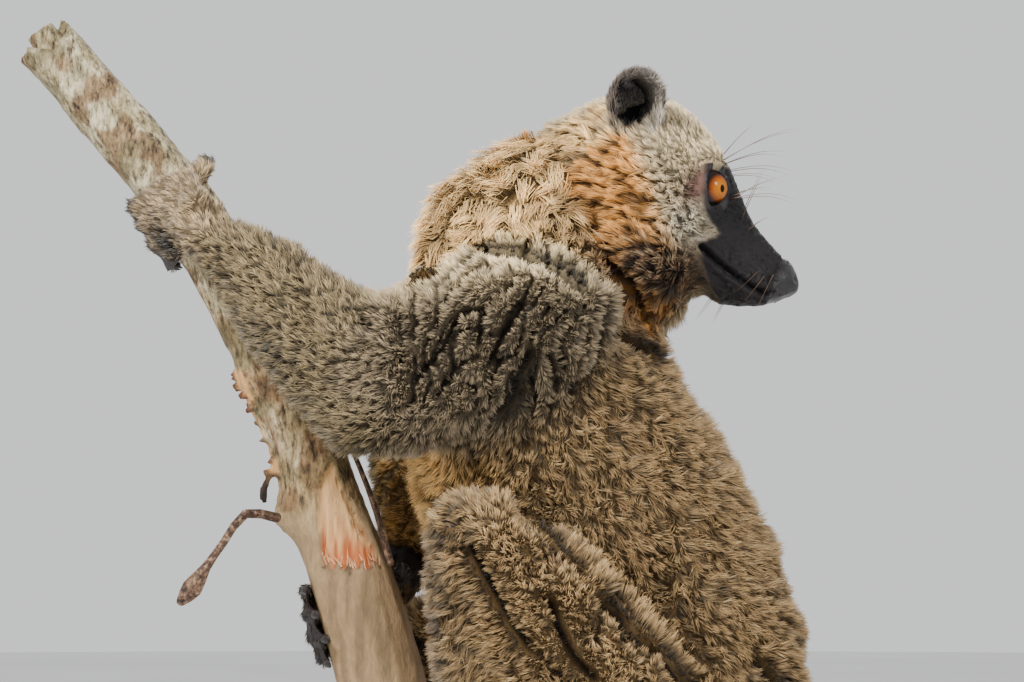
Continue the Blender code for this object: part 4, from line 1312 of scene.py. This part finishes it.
# the branch: a torn patch over heights, a peeling strip, two short stubs, and knots
branchForm = {
    "voxel": 0.0013, "plate": 0.0013, "tornDepth": 0.0026, "tornRelief": 0.0016,
    "patchUp": [0.5317, 0.5504, 0.5649, 0.5755], "patchLeft": [-0.0562, -0.0581, -0.0594, -0.0528],
    "patchRight": [-0.0312, -0.0402, -0.0479, -0.0524],
    "peelUp": [0.5682, 0.5870, 0.6164], "peelLeft": [-0.0772, -0.0862, -0.0942],
    "hook": [(-0.0715, 0.5765), (-0.0768, 0.5740), (-0.0802, 0.5690), (-0.0822, 0.5640), (-0.0826, 0.5590)],
    "hookLow": 0.548, "hookHigh": 0.575, "hookSizes": (0.0021, 0.0010),
    "end": [(-0.1600, 0.7340), (-0.1700, 0.7480), (-0.1775, 0.7590)], "endSizes": (0.0088, 0.0062),
    "knots": [((-0.0730, 0.5520), 0.0085, 0.0062), ((-0.0445, 0.5219), 0.0034, 0.0013),
              ((-0.0280, 0.4900), 0.0040, 0.0012)],
}
barkColours = {
    "pale": srgb(206, 196, 164), "tan": srgb(176, 150, 110), "low": srgb(156, 128, 92),
    "rust": srgb(138, 106, 70), "moss": srgb(122, 118, 82), "woodLow": srgb(186, 92, 36),
    "woodHigh": srgb(224, 176, 118), "curl": srgb(222, 170, 110), "curlShade": srgb(96, 52, 30),
    "hook": srgb(58, 38, 26), "splinter": srgb(206, 122, 66), "splinterTip": srgb(236, 208, 164),
}


def barkMaterial():
    made, tree, shader = newMaterial("bark")
    place = placeOn(tree)
    turned = turnedOn(tree, place, Rotation=(0, math.radians(-22), 0), Scale=(1, 1, 0.35))
    flakes = noiseOn(tree, turned, 430.0, 6.0, 0.72)
    tone = rampOn(tree, flakes, [(0.36, (0.07, 0.05, 0.04)), (0.47, (0.50, 0.46, 0.40)), (0.60, white)])
    lichen = rampOn(tree, noiseOn(tree, place, 95.0, 4.0, 0.6), [(0.42, (0.62, 0.58, 0.48)), (0.58, white)])
    mixed = addNode(tree, "ShaderNodeMix", data_type="RGBA")
    mixed.inputs["A"].default_value = (0.92, 0.92, 0.92, 1.0)
    tree.links.new(attributeOn(tree, "flaky"), mixed.inputs["Factor"])
    tree.links.new(multiplyOn(tree, tone, lichen), mixed.inputs["B"])
    paintOn(tree, shader, mixed.outputs["Result"])
    setInputs(shader, {"Roughness": 0.85})
    bumpOn(tree, shader, flakes, 0.8, 0.0016)
    return made


def addTube(bm, line, start, end):
    # a tapering tube with eight sides along a line of places
    rings = []
    last = len(line) - 1
    line = [np.array(place) for place in line]
    for number, place in enumerate(line):
        way = unit(line[min(number + 1, last)] - line[max(number - 1, 0)])
        one = unit(np.cross(way, np.array([0.2, 0.9, 0.3])))
        two = np.cross(way, one)
        size = start + (end - start) * (number / last)
        rings.append([bm.verts.new(place + (one * math.cos(turn) + two * math.sin(turn)) * size)
                      for turn in np.linspace(0, 2 * math.pi, 8, endpoint=False)])
    bridgeRings(bm, rings)
    bm.faces.new(rings[0])
    bm.faces.new(rings[-1])


def buildBranch(surface):
    bm = bmesh.new()
    bm.from_mesh(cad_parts["perch"].data)
    bmesh.ops.remove_doubles(bm, verts=bm.verts, dist=weldGap)
    solid = np.array([vert.co for vert in bm.verts])
    middle = solid[np.abs(solid[:, 2] - branchForm["hook"][0][1]) < 0.04][:, 1].mean()
    top = solid[solid[:, 2] > branchForm["end"][0][1]][:, 1].mean()
    addTube(bm, [(x, middle, z) for x, z in branchForm["hook"]], *branchForm["hookSizes"])
    addTube(bm, [(x, top, z) for x, z in branchForm["end"]], *branchForm["endSizes"])
    bmesh.ops.recalc_face_normals(bm, faces=bm.faces)
    branch = newObject("branch", meshFrom(bm, "branch"))
    joinVoxels(branch, branchForm["voxel"])
    bakeModifiers(branch)
    mesh = branch.data
    movePoints(mesh, softenPoints(meshPoints(mesh), meshEdges(mesh), 6, np.ones(len(mesh.vertices))))
    points, normals = meshPoints(mesh), meshNormals(mesh)
    low, high = boxes["perch"]
    up = (points[:, 2] - low[2]) / (high[2] - low[2])

    def grain(tall, size, seed):
        return softNoise(points * [1, 1, tall], size, seed)

    plates = grain(0.4, 0.006, 21) + 0.5 * grain(0.5, 0.0025, 22)
    lift = (plates - 0.60) * branchForm["plate"] * (ease((up - 0.57) / 0.06) * 0.7 + 0.3)
    # torn patch between two slanting edges, ragged at the foot
    near = ease((0.15 - normals[:, 1]) / 0.3)
    ragged = grain(0.3, 0.0016, 23) - 0.5
    left = np.interp(points[:, 2], branchForm["patchUp"], branchForm["patchLeft"])
    right = np.interp(points[:, 2], branchForm["patchUp"], branchForm["patchRight"])
    inside = np.minimum(points[:, 0] - left, right - points[:, 0]) + 0.0014 * ragged
    foot = points[:, 2] - branchForm["patchUp"][0] - 0.0070 * ragged
    head = branchForm["patchUp"][-1] - points[:, 2]
    patch = ease(np.minimum(np.minimum(inside, foot), head) / 0.0009 + 0.5) * near
    splinter = grain(0.10, 0.0011, 24)
    lift = lift * (1 - patch) + patch * (-branchForm["tornDepth"] + splinter * branchForm["tornRelief"])
    # a strip of peeling bark down the left edge
    edgeLeft = np.interp(points[:, 2], branchForm["peelUp"], branchForm["peelLeft"])
    peel = ease((edgeLeft + 0.0042 + 0.0030 * ragged - points[:, 0]) / 0.0012 + 0.5)
    peel = peel * ease((points[:, 2] - branchForm["peelUp"][0]) / 0.004)
    peel = peel * ease((branchForm["peelUp"][-1] - points[:, 2]) / 0.004)
    curls = softNoise(points, 0.0032, 27)
    lift = lift + peel * (0.0006 + 0.0030 * ease((curls - 0.55) / 0.2))
    # a collar at the root of the twig, and knots with a dimple
    for place, size, rise in branchForm["knots"]:
        gap = np.linalg.norm((points - np.array([place[0], middle, place[1]])) * [1, 0.5, 1], axis=1)
        lift = lift + rise * bell(gap / size) - 0.6 * rise * bell(gap / (0.4 * size)) * (rise < 0.002)
    movePoints(mesh, points + normals * lift[:, None])

    tone = barkColours
    mottle = ease((up - 0.66) / 0.22 + (softNoise(points, 0.016, 25) - 0.5) * 1.6)
    colours = blendTo(tone["tan"], tone["pale"], mottle)
    colours = blendTo(colours, tone["rust"], 0.8 * ease((grain(0.6, 0.007, 30) - 0.58) / 0.1) * (up > 0.6))
    lower = ease((0.60 - up) / 0.03) * (0.75 + 0.25 * softNoise(points, 0.016, 25))
    colours = blendTo(colours, tone["low"], lower)
    moss = 0.6 * ease((softNoise(points, 0.010, 28) - 0.56) / 0.14) * ease((up - 0.56) / 0.08)
    colours = blendTo(colours, tone["moss"], moss)
    streaks = ease((grain(0.08, 0.0022, 29) - 0.45) / 0.3)
    colours = colours * (1 - 0.35 * streaks * ease((0.62 - up) / 0.05))[:, None]
    fresh = ease(np.clip(foot / 0.040, 0, 1) * 2.0 + splinter - 0.6)
    wood = blendTo(tone["woodLow"], tone["woodHigh"], fresh) * (0.55 + 0.50 * splinter)[:, None]
    colours = blendTo(colours, wood, patch)
    shadow = bell((foot + 0.0006) / 0.0007) * near * (inside > -0.001)
    colours = colours * (1 - 0.75 * shadow)[:, None]
    curl = blendTo(tone["curl"], tone["curlShade"], ease((curls - 0.52) / 0.1))
    colours = blendTo(colours, curl, peel)
    byHook = (points[:, 2] > branchForm["hookLow"]) & (points[:, 2] < branchForm["hookHigh"])
    beyond = ease((edgeLeft - 0.0030 - points[:, 0]) / 0.001) * byHook
    colours = blendTo(colours, tone["hook"], beyond)
    flaky = np.clip(1 - 0.85 * patch - 0.6 * peel, 0, 1) * (0.30 + 0.70 * ease((up - 0.585) / 0.03))
    storeColour(mesh, "markings", np.clip(colours, 0, 1))
    storeValue(mesh, "flaky", flaky)
    smoothAll(mesh)
    mesh.materials.clear()
    mesh.materials.append(surface)
    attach(branch, "root")
    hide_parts("perch")
    return meshPoints(mesh), meshNormals(mesh), patch, foot


splinterForm = {
    "count": 46, "lean": (-0.32, 0, 1.0), "stray": 0.22, "stand": (0.05, 0.5),
    "tall": (0.0025, 0.0075), "wide": (0.00025, 0.0006), "rim": 0.0026, "sink": 0.001,
}


def buildSplinters(places, surface):
    # thin slivers of wood that stand from the patch's torn foot
    points, normals, patch, foot = places
    generator = np.random.default_rng(randomSeed + 5)
    rim = np.nonzero((np.abs(foot) < splinterForm["rim"]) & (patch > 0.2) & (patch < 0.95))[0]
    bm = bmesh.new()
    for chosen in generator.choice(rim, splinterForm["count"]):
        root, out = points[chosen], normals[chosen]
        up = np.array(splinterForm["lean"]) + generator.normal(0, splinterForm["stray"], 3)
        up = unit(up + out * generator.uniform(*splinterForm["stand"]))
        side = unit(np.cross(up, out))
        tall, wide = generator.uniform(*splinterForm["tall"]), generator.uniform(*splinterForm["wide"])
        base = [bm.verts.new(root - up * splinterForm["sink"] + side * wide * a + out * wide * b)
                for a, b in ((-1, -0.5), (1, -0.5), (0, 0.7))]
        tip = bm.verts.new(root + up * tall)
        for corner in range(3):
            bm.faces.new((base[corner], base[(corner + 1) % 3], tip))
        bm.faces.new(base)
    bmesh.ops.recalc_face_normals(bm, faces=bm.faces)
    mesh = meshFrom(bm, "splinters")
    tones = generator.random(len(mesh.vertices))
    storeColour(mesh, "markings", blendTo(barkColours["splinter"], barkColours["splinterTip"], tones))
    storeValue(mesh, "flaky", np.zeros(len(mesh.vertices)))
    mesh.materials.append(surface)
    made = newObject("splinters", mesh)
    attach(made, "root")


tell("branch")
barkSurface = barkMaterial()
buildSplinters(buildBranch(barkSurface), barkSurface)


def boardMaterial():
    made, tree, shader = newMaterial("oiled board")
    along = turnedOn(tree, placeOn(tree), Scale=(0.10, 1.0, 1.0))
    grain = noiseOn(tree, along, 150.0, 6.0, 0.6)
    fine = rampOn(tree, grain, [(0.32, (0.55, 0.50, 0.46)), (0.62, white)])
    bands = noiseOn(tree, along, 26.0, 3.0, 0.5)
    wide = rampOn(tree, bands, [(0.35, srgb(96, 70, 48)), (0.65, srgb(134, 102, 72))])
    tree.links.new(multiplyOn(tree, wide, fine), shader.inputs["Base Color"])
    setInputs(shader, {"Roughness": 0.48})
    bumpOn(tree, shader, grain, 0.25, 0.0004)
    return made


def setMaterial(node, surface):
    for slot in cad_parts[node].material_slots:
        slot.material = surface


# the stand, the twig and the sliver keep their solids
tell("stand")
steel = speckledMaterial(
    "blackened steel", (900.0, 3.0), [(0.3, srgb(34, 34, 36)), (0.7, srgb(52, 52, 54))],
    {"Metallic": 0.8, "Roughness": 0.5}, (0.15, 0.0003))
twigBark = speckledMaterial(
    "dry twig", (420.0, 5.0, 0.65),
    [(0.36, srgb(26, 17, 12)), (0.52, srgb(84, 60, 44)), (0.70, srgb(156, 128, 100))],
    {"Roughness": 0.85}, (0.7, 0.001))
setMaterial("stand_base", boardMaterial())
for node in ("stand_rod", "stand_cup"):
    setMaterial(node, steel)
for node in ("perch_twig", "perch_sliver"):
    setMaterial(node, twigBark)


stageForm = {"floor": 9.0, "sky": (0.90, 0.91, 0.92), "skyLight": 1.0}


def buildFloor():
    bm = bmesh.new()
    bmesh.ops.create_circle(bm, cap_ends=True, segments=96, radius=stageForm["floor"])
    mesh = meshFrom(bm, "floor")
    mesh.materials.append(speckledMaterial(
        "pale floor", (3.0, 4.0), [(0.3, (0.74, 0.74, 0.73)), (0.7, (0.79, 0.79, 0.78))], {"Roughness": 0.9}))
    floor = newObject("floor", mesh)


def addLamp(name, place, target, size, power, colour):
    data = bpy.data.lights.new(name, "AREA")
    data.shape = "DISK"
    data.size = size
    data.energy = power
    data.color = colour
    lamp = newObject(name, data)
    lamp.location = place
    lamp.rotation_euler = (Vector(target) - Vector(place)).to_track_quat("-Z", "Y").to_euler()


tell("stage")
buildFloor()
world = bpy.data.worlds.new("studio")
bpy.context.scene.world = world
world.use_nodes = True
setInputs(world.node_tree.nodes["Background"],
          {"Color": (*stageForm["sky"], 1.0), "Strength": stageForm["skyLight"]})
addLamp("key", (-1.0, -1.5, 2.3), (0.03, 0, 0.58), 0.7, 112, (1.0, 0.98, 0.95))
addLamp("fill", (1.5, -1.5, 1.7), (0.05, 0, 0.60), 0.8, 34, (0.97, 0.98, 1.0))
addLamp("back", (0.6, 1.9, 1.9), (0.03, 0, 0.60), 1.2, 34, (1.0, 0.99, 0.97))

# the view is level, and its frame is 0.436 m wide at the animal's middle plane
view = {"place": (0.0236, -2.4, 0.627), "lens": 198.0, "sensor": 36.0}
cameraData = bpy.data.cameras.new("camera")
cameraData.sensor_width = view["sensor"]
cameraData.lens = view["lens"]
camera = newObject("camera", cameraData)
camera.location = view["place"]
camera.rotation_euler = (math.radians(90), 0, 0)
bpy.context.scene.camera = camera
